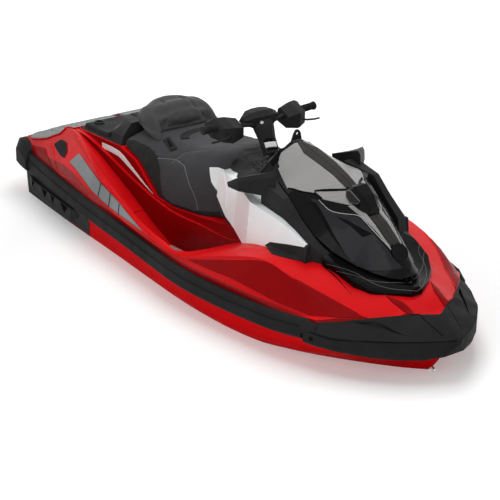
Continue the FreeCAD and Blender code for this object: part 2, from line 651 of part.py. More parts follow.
def make_hood():
    """Hinged cover over the storage bin: an open shell with two hinge lugs, and the scoop on it."""
    wall = size("panel_thickness")
    outer, inner = [], []
    for x, crest, crest_half, edge_half, edge, low_half, low in HOOD:
        outer.append((x, both_sides([(0, low), (low_half, low), (edge_half, edge), (crest_half, crest),
                                     (0, crest + 2)])))
        inner.append((x, both_sides([(0, low - 30), (max(low_half - wall, 12), low - 30),
                                     (max(low_half - wall, 12), low - 1),
                                     (max(edge_half - wall, 8), edge - wall),
                                     (max(crest_half - wall / 2, 6), crest - wall), (0, crest - wall + 2)])))
    form = loft(outer, ruled=True)
    shell = largest(form.cut(loft(inner[:-1], ruled=True)))
    x, z = HINGE_AT
    pin = spot(x, 0, z)
    long = HINGE_LUG_END - HINGE_LUG_START
    for start in (HINGE_LUG_START, -HINGE_LUG_END):
        eye = Part.makeCylinder(size("hinge_pin_diameter") / 2 + 5, long, pin + Vector(0, start, 0), Vector(0, 1, 0))
        web = Part.makeBox(14, long, 30, pin + Vector(-7, start, 0))
        shell = shell.fuse(eye).fuse(web)
    hole = Part.makeCylinder(size("hinge_pin_diameter") / 2 + size("pivot_clearance"), 200,
                             pin - Vector(0, 100, 0), Vector(0, 1, 0))
    feature("hood", largest(shell.cut(hole)))
    sections = [(x, both_sides([(0, 880), (half, 880), (half, top - 14), (half * 0.6, top), (0, top)]))
                for x, half, top in SCOOP]
    feature("hood_scoop", largest(loft(sections, ruled=True).cut(form)))


# Scoop on the cover: station, half width, top
SCOOP = ((2352, 8, 956), (2408, 56, 992), (2440, 60, 1000), (2500, 52, 968), (2548, 30, 922))


def make_bin():
    """Storage tub under the cover."""
    wall = size("bin_wall")
    half = size("bin_width") / 2
    rear, front = BIN_STATIONS[0] * ALONG + 1, BIN_STATIONS[1] * ALONG - 1
    floor, rim = BIN_FLOOR * UP, (BIN_FLOOR + size("bin_depth")) * UP
    outer = Part.makeBox(front - rear, 2 * half + 2 * wall, rim - floor, Vector(rear, -half - wall, floor))
    room = Part.makeBox(front - rear - 2 * wall, 2 * half, rim - floor, Vector(rear + wall, -half, floor + wall))
    feature("storage_bin", outer.cut(room))


# Mirrors: housings on the shrouds, glass to the rear
def make_mirrors(shroud):
    """Wedge housings and their glasses."""
    foot = [(1918, 905), (1912, 936), (2108, 1014), (2128, 996), (2136, 890)]
    tip = [(1930, 908), (1922, 930), (1990, 972), (2006, 958), (2012, 912)]
    inner, outer = 264, 396
    housing = Part.makeLoft([wire([spot(x, inner, z) for x, z in foot]),
                             wire([spot(x, outer, z) for x, z in tip])], True, True)
    housing = largest(housing.cut(shroud))
    rear_face = min(housing.Faces, key=lambda face: face.CenterOfMass.x)
    glass = rear_face.extrude(Vector(-size("glass_thickness"), 0, 0)).cut(shroud)
    feature("mirror_glasses", pair(glass))
    for name, side in SIDES:
        feature(f"mirror_{name}", housing if side == PORT else mirror(housing))


# Jet pump, drawn from the front flange of its housing with x aft negative
LINER = "(Sizes.impeller_diameter / 2 + Sizes.impeller_clearance)"
HOUSING = f"({LINER} + Sizes.pump_wall)"
RING_INSIDE = "(Sizes.nozzle_bell_diameter / 2 + Sizes.ring_gap)"
RING_OUTSIDE = f"({RING_INSIDE} + Sizes.ring_wall)"
ARM_INSIDE = f"({RING_OUTSIDE} + 6)"
ARM_OUTSIDE = f"({ARM_INSIDE} + Sizes.arm_thickness)"
NOZZLE_PIVOT = "(Sizes.pump_length + Sizes.cone_length + Sizes.outlet_length - 15)"
GATE_PIVOT = f"({NOZZLE_PIVOT} - 32)"
PIN_HOLE = "Sizes.pivot_diameter + 2 * Sizes.pivot_clearance"


def jet_place(aft=0.0):
    """Placement on the jet axis, a distance aft of the pump's front flange."""
    return place(Vector(TUNNEL_FRONT * ALONG - aft, 0, AXIS_HEIGHT))


def make_pump():
    """Housing with stator vanes, outlet cone and the two arms that carry ring and gate."""
    pipe, wall = "Sizes.outlet_diameter / 2", "Sizes.outlet_wall"
    cone_start, cone_end = "-Sizes.pump_length", "-(Sizes.pump_length + Sizes.cone_length)"
    end = "-(Sizes.pump_length + Sizes.cone_length + Sizes.outlet_length)"
    body = new_body("pump_housing")
    revolve(body, outline(body, "XZ_Plane", [
        (0, LINER), (0, HOUSING + " + 14"), (-12, HOUSING + " + 14"), (-12, HOUSING),
        (cone_start, HOUSING), (cone_end, pipe), (end, pipe), (end, f"{pipe} - {wall}"),
        (cone_end, f"{pipe} - {wall}"), (cone_start, LINER)]))
    hub = "Sizes.impeller_hub_diameter / 2"
    vane = pad(body, outline(body, "YZ_Plane", [(-3, f"{hub} - 4"), (3, f"{hub} - 4"), (3, LINER + " + 2"),
                                                (-3, LINER + " + 2")], "-(Sizes.pump_length - 15)"), 95)
    vanes = body.newObject("PartDesign::PolarPattern", "stator_vanes")
    vanes.Originals = [vane]
    vanes.Axis = (plane_of(body, "X_Axis"), [""])
    vanes.Angle = 360
    vanes.setExpression("Occurrences", "Sizes.vane_count")
    body.Tip = vanes
    document.recompute()
    tail = "-(Sizes.pump_length + Sizes.cone_length / 2)"
    front = "-(Sizes.impeller_length + 45)"
    revolve(body, outline(body, "XZ_Plane", [(tail, 0), (cone_start, hub), (front, hub), (front, 0)]))
    for side in (1, -1):
        arm = outline(body, "XZ_Plane", [("-(Sizes.pump_length - 40)", -16), ("-(Sizes.pump_length - 40)", 16),
                                         (f"-({NOZZLE_PIVOT} + 17)", 16), (f"-({NOZZLE_PIVOT} + 17)", -16)],
                      f"{side} * {ARM_INSIDE}")
        pad(body, arm, "Sizes.arm_thickness", reverse=side < 0)
        pin = circle(body, "XZ_Plane", f"-{GATE_PIVOT}", 0, "Sizes.gate_pin_diameter",
                     f"{side} * {ARM_OUTSIDE} - {side}")
        pad(body, pin, 16, reverse=side < 0)
    pocket(body, circle(body, "XZ_Plane", f"-{NOZZLE_PIVOT}", 0, PIN_HOLE), 400, middle=True)
    finish(body, "pump_housing", jet_place())


IMPELLER_SET_BACK = 25
BLADE_TURN = 95
BLADE_STATIONS = 6


def make_impeller():
    """Hub with helical blades, and the shaft that drives it."""
    length, hub = size("impeller_length"), size("impeller_hub_diameter") / 2
    tip, half = size("impeller_diameter") / 2, size("blade_thickness") / 2
    nose = Part.makeCone(size("shaft_diameter") / 2 + 4, hub, length * 0.3, Vector(0, 0, 0), Vector(-1, 0, 0))
    barrel = Part.makeCylinder(hub, length * 0.7, Vector(-length * 0.3, 0, 0), Vector(-1, 0, 0))
    form = nose.fuse(barrel)
    sections = []
    for i in range(BLADE_STATIONS):
        share = i / (BLADE_STATIONS - 1)
        turn = math.radians(BLADE_TURN * share)
        across = Vector(0, -math.sin(turn), math.cos(turn))
        outward = Vector(0, math.cos(turn), math.sin(turn))
        base = Vector(-length * (0.12 + 0.82 * share), 0, 0)
        root, rim = hub * 0.45, tip + 2
        sections.append(wire([base + outward * root - across * half, base + outward * rim - across * half,
                              base + outward * rim + across * half, base + outward * root + across * half]))
    blade = Part.makeLoft(sections, True, False)
    for i in range(int(size("blade_count"))):
        turned_blade = blade.copy()
        turned_blade.rotate(Vector(0, 0, 0), Vector(1, 0, 0), 360 * i / size("blade_count"))
        form = form.fuse(turned_blade)
    form = form.common(Part.makeCylinder(tip, length, Vector(0, 0, 0), Vector(-1, 0, 0)))
    item = document.addObject("Part::Feature", "impeller")
    item.Shape = form
    finish(item, "impeller", jet_place(IMPELLER_SET_BACK))
    body = new_body("drive_shaft")
    run = (ENGINE_REAR - TUNNEL_FRONT) * ALONG + IMPELLER_SET_BACK - SEAM
    pad(body, circle(body, "YZ_Plane", 0, 0, "Sizes.shaft_diameter"), run)
    finish(body, "drive_shaft", jet_place(IMPELLER_SET_BACK))


def make_trim_ring():
    """Ring that tilts between the pump's arms and carries the nozzle on upright pins."""
    body = new_body("trim_ring")
    half = "Sizes.ring_width / 2"
    revolve(body, outline(body, "XZ_Plane", [("-" + half, RING_INSIDE), (half, RING_INSIDE),
                                             (half, RING_OUTSIDE), ("-" + half, RING_OUTSIDE)]))
    inner_pin = "(Sizes.nozzle_bell_diameter / 2 - Sizes.nozzle_wall + 0.3)"
    for side in (1, -1):
        pin = circle(body, "XY_Plane", 0, 0, "Sizes.pivot_diameter", f"{side} * {inner_pin}")
        pad(body, pin, "Sizes.ring_gap + Sizes.nozzle_wall + 3", reverse=side < 0)
        pin = circle(body, "XZ_Plane", 0, 0, "Sizes.pivot_diameter", f"{side} * ({RING_OUTSIDE} - 3)")
        pad(body, pin, "6 + 3 + Sizes.arm_thickness", reverse=side < 0)
    finish(body, "trim_ring", jet_place(value_of(NOZZLE_PIVOT)))


def make_nozzle():
    """Steering nozzle, drawn from its upright pivot."""
    body = new_body("steering_nozzle")
    bell, tail, wall = "Sizes.nozzle_bell_diameter / 2", "Sizes.nozzle_tail_diameter / 2", "Sizes.nozzle_wall"
    end = "(15 - Sizes.nozzle_length)"
    revolve(body, outline(body, "XZ_Plane", [
        (15, f"{bell} - {wall}"), (15, bell), (-36, bell), (f"{end} + 45", tail), (end, tail),
        (end, f"{tail} - {wall}"), (f"{end} + 45", f"{tail} - {wall}"), (-36, f"{bell} - {wall}")]))
    pocket(body, circle(body, "XY_Plane", 0, 0, PIN_HOLE), 400, middle=True)
    finish(body, "steering_nozzle", jet_place(value_of(NOZZLE_PIVOT)))


GATE_SPREAD = 80
GATE_STOWED = 75


def make_gate():
    """Reverse gate: a curved scoop between two side plates, stowed above the nozzle."""
    inside, wall = size("gate_radius"), size("gate_wall")
    half = value_of(ARM_OUTSIDE) + 6 + wall
    lead = 270 - GATE_STOWED - GATE_SPREAD / 2
    across = Vector(0, -1, 0)

    def sector(radius, width, start):
        """Pie slice about the pivot, from the start y towards starboard; it opens straight down."""
        piece = Part.makeCylinder(radius, width, Vector(0, start, 0), across, GATE_SPREAD)
        piece.rotate(Vector(0, 0, 0), across, lead)
        return piece

    scoop = sector(inside + wall, 2 * half, half).cut(sector(inside, 2 * half, half))
    for start in (half, -half + wall):
        boss = Part.makeCylinder(size("gate_pin_diameter"), wall, Vector(0, start, 0), across)
        scoop = scoop.fuse(sector(inside + wall / 2, wall, start)).fuse(boss)
    hole = Part.makeCylinder(size("gate_pin_diameter") / 2 + size("pivot_clearance"), 4 * half,
                             Vector(0, 2 * half, 0), across)
    item = document.addObject("Part::Feature", "reverse_gate")
    item.Shape = scoop.cut(hole)
    finish(item, "reverse_gate", jet_place(value_of(GATE_PIVOT)))


RIDE_PLATE_AFT = 62


def make_bottom_fittings():
    """Ride plate under the pump and the grate over the intake mouth."""
    body = new_body("ride_plate")
    half = "Sizes.ride_plate_width / 2"
    long = (TUNNEL_FRONT + RIDE_PLATE_LAP - RIDE_PLATE_AFT) * ALONG - 2
    pad(body, outline(body, "XY_Plane", [(40, "-" + half), (long, "-" + half), (long, half), (40, half),
                                         (0, f"{half} - 30"), (0, f"-{half} + 30")]),
        "Sizes.ride_plate_thickness")
    finish(body, "ride_plate", place(Vector(RIDE_PLATE_AFT * ALONG, 0, 0)))
    bar = size("grate_bar")
    rear, front = INTAKE_MOUTH[0] * ALONG + SEAM, INTAKE_MOUTH[1] * ALONG - SEAM
    half = INTAKE_HALF - SEAM
    grate = Part.makeBox(front - rear, 2 * half, bar, Vector(rear, -half, 0))
    slots = 5
    slot = (2 * half - (slots + 1) * bar) / slots
    for i in range(slots):
        grate = grate.cut(Part.makeBox(front - rear - 2 * bar, slot, 3 * bar,
                                       Vector(rear + bar, -half + bar + i * (slot + bar), -bar)))
    feature("intake_grate", grate)


# Steering: the axis leans back from its foot on the console
COLUMN_FOOT = (1770, 0, 912)
BAR_POINTS = ((1668, 0, 1085), (1676, 70, 1085), (1652, 190, 1095), (1648, 345, 1100))
GUARD = ((140, 1606, 1704, 1030, 1122), (205, 1596, 1722, 1022, 1138), (252, 1578, 1700, 1030, 1136),
         (284, 1566, 1640, 1046, 1120))
# Gauge pod: station across, rear and front, bottom, shoulder and top
POD = ((-104, 1612, 1668, 1086, 1106, 1120), (-64, 1592, 1690, 1066, 1122, 1142), (-24, 1590, 1700, 1048, 1124, 1148),
       (24, 1590, 1700, 1048, 1124, 1148), (64, 1592, 1690, 1066, 1122, 1142), (104, 1612, 1668, 1086, 1106, 1120))
LEVER_POINTS = ((1700, 205, 1070), (1722, 250, 1064), (1722, 300, 1058), (1708, 338, 1052))


def tube(points, radius, corners=12):
    """Bar of many-sided section through points, mitred at each bend."""
    runs = [(end - start).normalize() for start, end in zip(points, points[1:])]
    side = runs[0].cross(Vector(0, 0, 1)).normalize()
    rise = side.cross(runs[0])
    ring = []
    for i in range(corners):
        turn = 2 * math.pi * (i + 0.5) / corners
        ring.append(points[0] + side * (radius * math.cos(turn)) + rise * (radius * math.sin(turn)))
    wires = [wire(ring)]
    for i, run in enumerate(runs):
        cut = run + runs[min(i + 1, len(runs) - 1)]
        ring = [corner + run * ((points[i + 1] - corner).dot(cut) / run.dot(cut)) for corner in ring]
        wires.append(wire(ring))
    return Part.makeLoft(wires, True, True)


def axis_direction():
    """Unit vector up the steering axis."""
    tilt = math.radians(size("column_tilt"))
    return Vector(-math.sin(tilt), 0, math.cos(tilt))


def make_steering():
    """Neck, handlebar, grips, guards, levers and gauge pod, all on the steering axis."""
    foot, up = spot(*COLUMN_FOOT), axis_direction()
    ahead = Vector(up.z, 0, -up.x)
    half_bar = [spot(*point) for point in BAR_POINTS]
    bar = tube([Vector(p.x, -p.y, p.z) for p in reversed(half_bar[1:])] + half_bar, size("bar_diameter") / 2)
    levels = ((34, 44, 44), (110, 40, 46), (175, 44, 58), (206, 40, 52))
    rings = []
    for height, reach, breadth in levels:
        ring = []
        for i in range(8):
            turn = math.radians(22.5 + 45 * i)
            ring.append(foot + up * height + ahead * (reach * math.cos(turn))
                        + Vector(0, breadth * math.sin(turn), 0))
        rings.append(wire(ring))
    pin = Part.makeCylinder(COLUMN_RADIUS, COLUMN_DEPTH + 40, foot - up * COLUMN_DEPTH, up)
    pod_wires = []
    for y, rear, front, bottom, shoulder, top in POD:
        pod_wires.append(wire([spot(rear, y, shoulder - 16), spot(rear + 14, y, bottom), spot(front - 8, y, bottom),
                               spot(front, y, shoulder), spot(front - 26, y, top), spot(rear + 16, y, top - 6)]))
    pod = Part.makeLoft(pod_wires, True, True).cut(bar)
    neck = Part.makeLoft(rings, True, True).fuse(pin).cut(bar).cut(pod)
    feature("steering_neck", max(neck.Solids, key=lambda solid: solid.Volume))
    feature("handlebar", bar)
    feature("gauge_pod", pod)
    guard = []
    for y, rear, front, bottom, top in GUARD:
        guard.append(wire([spot(rear, y, bottom + 20), spot(rear + 10, y, top - 8), spot(rear + 30, y, top),
                           spot(front, y, top - 30), spot(front, y, bottom + 12), spot(front - 16, y, bottom)]))
    guard = Part.makeLoft(guard, True, True).cut(bar)
    feature("hand_guards", pair(guard))
    start, end = half_bar[2], half_bar[3]
    along = (end - start).normalize()
    grip_start = end - along * (size("grip_length") - 8)
    grip = Part.makeCylinder(size("grip_diameter") / 2, size("grip_length"), grip_start, along).cut(bar)
    feature("grips", pair(grip.cut(guard)))
    lever = tube([spot(*point) for point in LEVER_POINTS], 5).cut(guard)
    feature("levers", pair(max(lever.Solids, key=lambda solid: solid.Volume)))


COLUMN_RADIUS = 16
COLUMN_DEPTH = 70


def column_socket():
    """Hole in the console for the steering column."""
    up = axis_direction()
    foot = spot(*COLUMN_FOOT)
    return Part.makeCylinder(COLUMN_RADIUS + size("pivot_clearance"), COLUMN_DEPTH + 81,
                             foot - up * (COLUMN_DEPTH + 1), up)


# Fittings
def skin(base, region, lift):
    """Sheet lying on a surface: the base form moved by lift, inside a region."""
    moved = base.copy()
    moved.translate(lift)
    return moved.common(region).cut(base)


def largest(shape):
    """The biggest solid of a shape."""
    return max(shape.Solids, key=lambda solid: solid.Volume)


# Grey panel let into the flank and the soft pad on the stern quarter, seen from above
ACCENT_PANEL = ((584, 482), (610, 436), (930, 499), (1151, 522), (1438, 572), (1300, 560), (1102, 545),
                (881, 524))
ACCENT_HEIGHTS = (524, 760)
QUARTER_PLUG = ((334, 432), (371, 408), (434, 413), (496, 445), (515, 473), (470, 470), (387, 448))


REAR_MAT = ((18, 30), (18, 396), (330, 318), (362, 250), (362, 30))
FOOT_MAT = ((1330, 318), (1330, 524), (1500, 538), (1690, 546), (1754, 492), (1868, 300), (1868, 276),
            (1700, 276), (1500, 288))


def make_deck_trim(deck, deck_form):
    """Accent panels, plugs, mats and the tray with its anchor sockets."""
    accent = largest(skin(deck_form, prism(ACCENT_PANEL, *ACCENT_HEIGHTS), Vector(0, 2, 3)))
    feature("side_accents", pair(accent))
    plug = largest(skin(deck_form, prism(QUARTER_PLUG, *ACCENT_HEIGHTS), Vector(0, 2, size("plug_thickness"))))
    feature("quarter_plugs", pair(plug))
    lift = Vector(0, 0, size("mat_thickness"))
    mat = largest(skin(deck, prism(REAR_MAT, 300, 900), lift))
    feature("rear_deck_mats", pair(mat))
    mat = largest(skin(deck, prism(FOOT_MAT, 300, 420), lift))
    feature("footwell_mats", pair(mat))
    tray = largest(skin(deck, prism([(396, -262), (636, -274), (636, 274), (396, 262)], 500, 1000),
                        Vector(0, 0, TRAY_HEIGHT)))
    feature("rear_tray", tray)
    sockets = []
    bore = size("anchor_bore") / 2
    for x, y in ANCHORS:
        top = tray_top(x)
        for side in (1, -1):
            centre = spot(x, side * y, top)
            socket = Part.makeCylinder(bore + size("anchor_rim"), size("anchor_height"), centre)
            sockets.append(socket.cut(Part.makeCylinder(bore, 60, centre - Vector(0, 0, 5))))
    feature("anchor_rings", Part.makeCompound(sockets))


TRAY_HEIGHT = 22
ANCHORS = ((450, 205), (585, 120))


def tray_top(x):
    """Height of the tray's top at a station."""
    return pedestal_top(x) + (TRAY_HEIGHT + SEAM) / UP + 1


SPONSON = ((110, 470, 352), (190, 500, 320), (560, 532, 303), (672, 540, 325), (728, 528, 355), (762, 505, 388))
# Triangular hollows in its side: rear and front at the top, rear at the bottom
SPONSON_HOLLOWS = ((150, 215, 175), (300, 378, 352), (420, 470, 455), (540, 640, 600))
HOLLOW_TOP = 388
HOLLOW_BOTTOM = 340
HOLLOW_DEPTH = 26


def make_hull_fittings(hull_form):
    """Sponsons, towing eye and mooring eyes."""
    sections = [(x, [(380, bottom), (half - 8, bottom), (half, bottom + 12), (half - 4, 392), (380, 394)])
                for x, half, bottom in SPONSON]
    sponson = loft(sections, ruled=True).cut(hull_form)
    for rear, front, low in SPONSON_HOLLOWS:
        depth = flange_half(low) - HOLLOW_DEPTH
        corners = [spot(rear, depth, HOLLOW_TOP), spot(front, depth, HOLLOW_TOP), spot(low, depth, HOLLOW_BOTTOM)]
        sponson = sponson.cut(Part.Face(wire(corners)).extrude(Vector(0, 200, 0)))
    feature("sponsons", pair(largest(sponson)))
    feature("bow_eye", largest(lifting_eye(spot(*BOW_EYE)).cut(hull_form)))
    transom = Vector(HULL_STATIONS[0] * ALONG, 0, 0)
    stern = lifting_eye(transom + Vector(-size("eye_bore") / 2 - EYE_STANDOFF, STERN_EYE_HALF * ACROSS,
                                         STERN_EYE_HEIGHT * UP))
    feature("stern_eyes", pair(largest(stern.cut(hull_form))))


def lifting_eye(centre):
    """Ring standing fore and aft about a bore that runs across the craft."""
    bore, width = size("eye_bore") / 2, size("eye_rod_diameter")
    start = centre - Vector(0, width / 2, 0)
    ring = Part.makeCylinder(bore + width, width, start, Vector(0, 1, 0))
    return ring.cut(Part.makeCylinder(bore, 3 * width, start - Vector(0, width, 0), Vector(0, 1, 0)))


EYE_STANDOFF = 3
STERN_EYE_HALF = 300
STERN_EYE_HEIGHT = 330
BOW_EYE = (3001, 0, 260)


def check(item):
    """Stop on a failed object or an unsound shape."""
    if "Invalid" in item.State or "Error" in item.State:
        raise RuntimeError(f"{item.Name} failed: {item.State}")


def main():
    hull_form, deck_form, lap = make_hull_and_deck()
    deck = next(item for item in sub_parts if item.Label == "deck")
    deck_shape = deck.Shape.copy()
    deck_shape.Placement = FreeCAD.Placement()
    make_engine()
    make_rails()
    make_bumper(hull_form, lap)
    make_stern_caps(hull_form, deck_form)
    make_seat()
    console = make_console(deck_shape)
    fascia = make_fascia(deck_shape)
    shroud = make_side_panels(deck_shape, console, fascia)
    make_hood()
    make_bin()
    make_mirrors(shroud)
    make_pump()
    make_impeller()
    make_trim_ring()
    make_nozzle()
    make_gate()
    make_bottom_fittings()
    make_steering()
    make_deck_trim(deck_shape, deck_form)
    make_hull_fittings(hull_form)
    document.recompute()
    for item in document.Objects:
        check(item)
    for item in sub_parts:
        shape = item.Shape
        if shape.isNull() or not shape.isValid():
            raise RuntimeError(f"{item.Label} has no sound shape")
        print(item.Label, len(shape.Solids), round(shape.Volume / 1e6, 3), "litres")
        shape.exportStep(f"parts/{item.Label}.step")


main()
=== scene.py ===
"""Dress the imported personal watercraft: finishes, upholstery, trim and fittings."""
import logging
import math
from dataclasses import dataclass
from enum import Enum
from functools import cached_property
from typing import Callable, Sequence

import bmesh
import bpy
from mathutils import Matrix, Vector, geometry
from mathutils.bvhtree import BVHTree


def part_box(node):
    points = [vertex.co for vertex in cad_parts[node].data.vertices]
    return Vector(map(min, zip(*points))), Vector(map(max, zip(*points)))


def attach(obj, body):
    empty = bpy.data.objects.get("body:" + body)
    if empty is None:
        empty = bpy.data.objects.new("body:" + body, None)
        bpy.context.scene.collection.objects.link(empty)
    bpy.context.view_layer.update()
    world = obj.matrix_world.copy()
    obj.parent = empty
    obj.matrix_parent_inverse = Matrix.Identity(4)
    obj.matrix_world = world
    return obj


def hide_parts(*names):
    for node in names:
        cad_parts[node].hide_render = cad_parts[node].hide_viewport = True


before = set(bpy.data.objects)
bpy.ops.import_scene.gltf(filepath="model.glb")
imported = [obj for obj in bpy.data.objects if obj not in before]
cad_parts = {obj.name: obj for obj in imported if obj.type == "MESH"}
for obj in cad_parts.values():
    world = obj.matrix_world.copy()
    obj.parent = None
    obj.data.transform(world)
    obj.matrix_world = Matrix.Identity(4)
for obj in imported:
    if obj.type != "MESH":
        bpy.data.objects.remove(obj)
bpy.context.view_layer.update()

LOG = logging.getLogger("watercraft")
Colour = tuple[float, float, float]
Point = tuple[float, float, float]
Outline = tuple[Point, ...]
Profile = tuple[tuple[float, float], ...]
Roll = Sequence[tuple[float, float, float, float]]
Shape = bmesh.types.BMesh
Socket = bpy.types.NodeSocket
MILLIMETRES = 1000
STEEP = 0.9
ALL_ROUND = 180.0


@dataclass(frozen=True)
class Lines:
    """The builder's lines: millimetres forward of the transom, to port and up from the keel."""

    midship: float = 1582.5
    draught: float = 262.0

    def spot(self, x: float, y: float, z: float) -> Vector:
        """Place a point of the lines in the part's frame.

        Args:
            x: Station forward of the transom, mm.
            y: Distance to port, mm.
            z: Height over the keel, mm.

        Returns:
            The point in metres.
        """
        return Vector(((x - self.midship) / MILLIMETRES, y / MILLIMETRES, (z - self.draught) / MILLIMETRES))


LINES = Lines()


def spot(x: float, y: float, z: float) -> Vector:
    """Return a point of the builder's lines in metres in the part's frame."""
    return LINES.spot(x, y, z)


def placed(name: str, data: bpy.types.ID) -> bpy.types.Object:
    """Put new data in the scene.

    Args:
        name: The object's name.
        data: Its mesh, lamp or camera.

    Returns:
        The object.
    """
    item = bpy.data.objects.new(name, data)
    bpy.context.scene.collection.objects.link(item)
    return item


class Texture(Enum):
    """Surface character a finish can carry."""

    SMOOTH = "smooth"
    GELCOAT = "gelcoat"
    MOULDED = "moulded"
    LEATHER = "leather"
    FOAM = "foam"
    WOVEN = "woven"
    BRUSHED = "brushed"
    CAST = "cast"
    RIBBED = "ribbed"


@dataclass(frozen=True)
class Finish:
    """One surface finish and how it is built from shader nodes."""

    name: str
    colour: Colour
    roughness: float
    texture: Texture = Texture.SMOOTH
    metallic: float = 0.0
    coat: float = 0.0
    coat_roughness: float = 0.03
    sheen: float = 0.0
    specular: float = 0.5
    grain: float = 900.0
    depth: float = 0.0
    tone: float = 0.0
    tone_size: float = 6.0
    edge: float = 0.0
    rounding: float = 0.002
    second: Colour | None = None
    # How dark painted shade makes faces turned sideways or down; 1.0 paints none.
    painted_shade: float = 1.0
    facing: bool = False

    def material(self) -> bpy.types.Material:
        """Return the finish's material, built on first use."""
        known = bpy.data.materials.get(self.name)
        return known if known is not None else self._build()

    def _build(self) -> bpy.types.Material:
        """Build the node tree.

        Returns:
            The new material.
        """
        made = bpy.data.materials.new(self.name)
        bench = Bench(made)
        made.diffuse_color = (*self.colour, 1.0)
        for socket, value in (("Metallic", self.metallic), ("Coat Weight", self.coat),
                              ("Coat Roughness", self.coat_roughness), ("Sheen Weight", self.sheen),
                              ("Specular IOR Level", self.specular)):
            bench.feed(value, bench.shader.inputs[socket])
        bench.paint(self)
        bench.polish(self)
        bench.emboss(self)
        return made

    def tinted(self, factor: float, lift: float = 0.0) -> Colour:
        """Return the colour made darker or lighter.

        Args:
            factor: What it is multiplied by.
            lift: What is added after that.

        Returns:
            The new colour.
        """
        return tuple(min(1.0, max(0.0, part * factor + lift)) for part in self.colour)


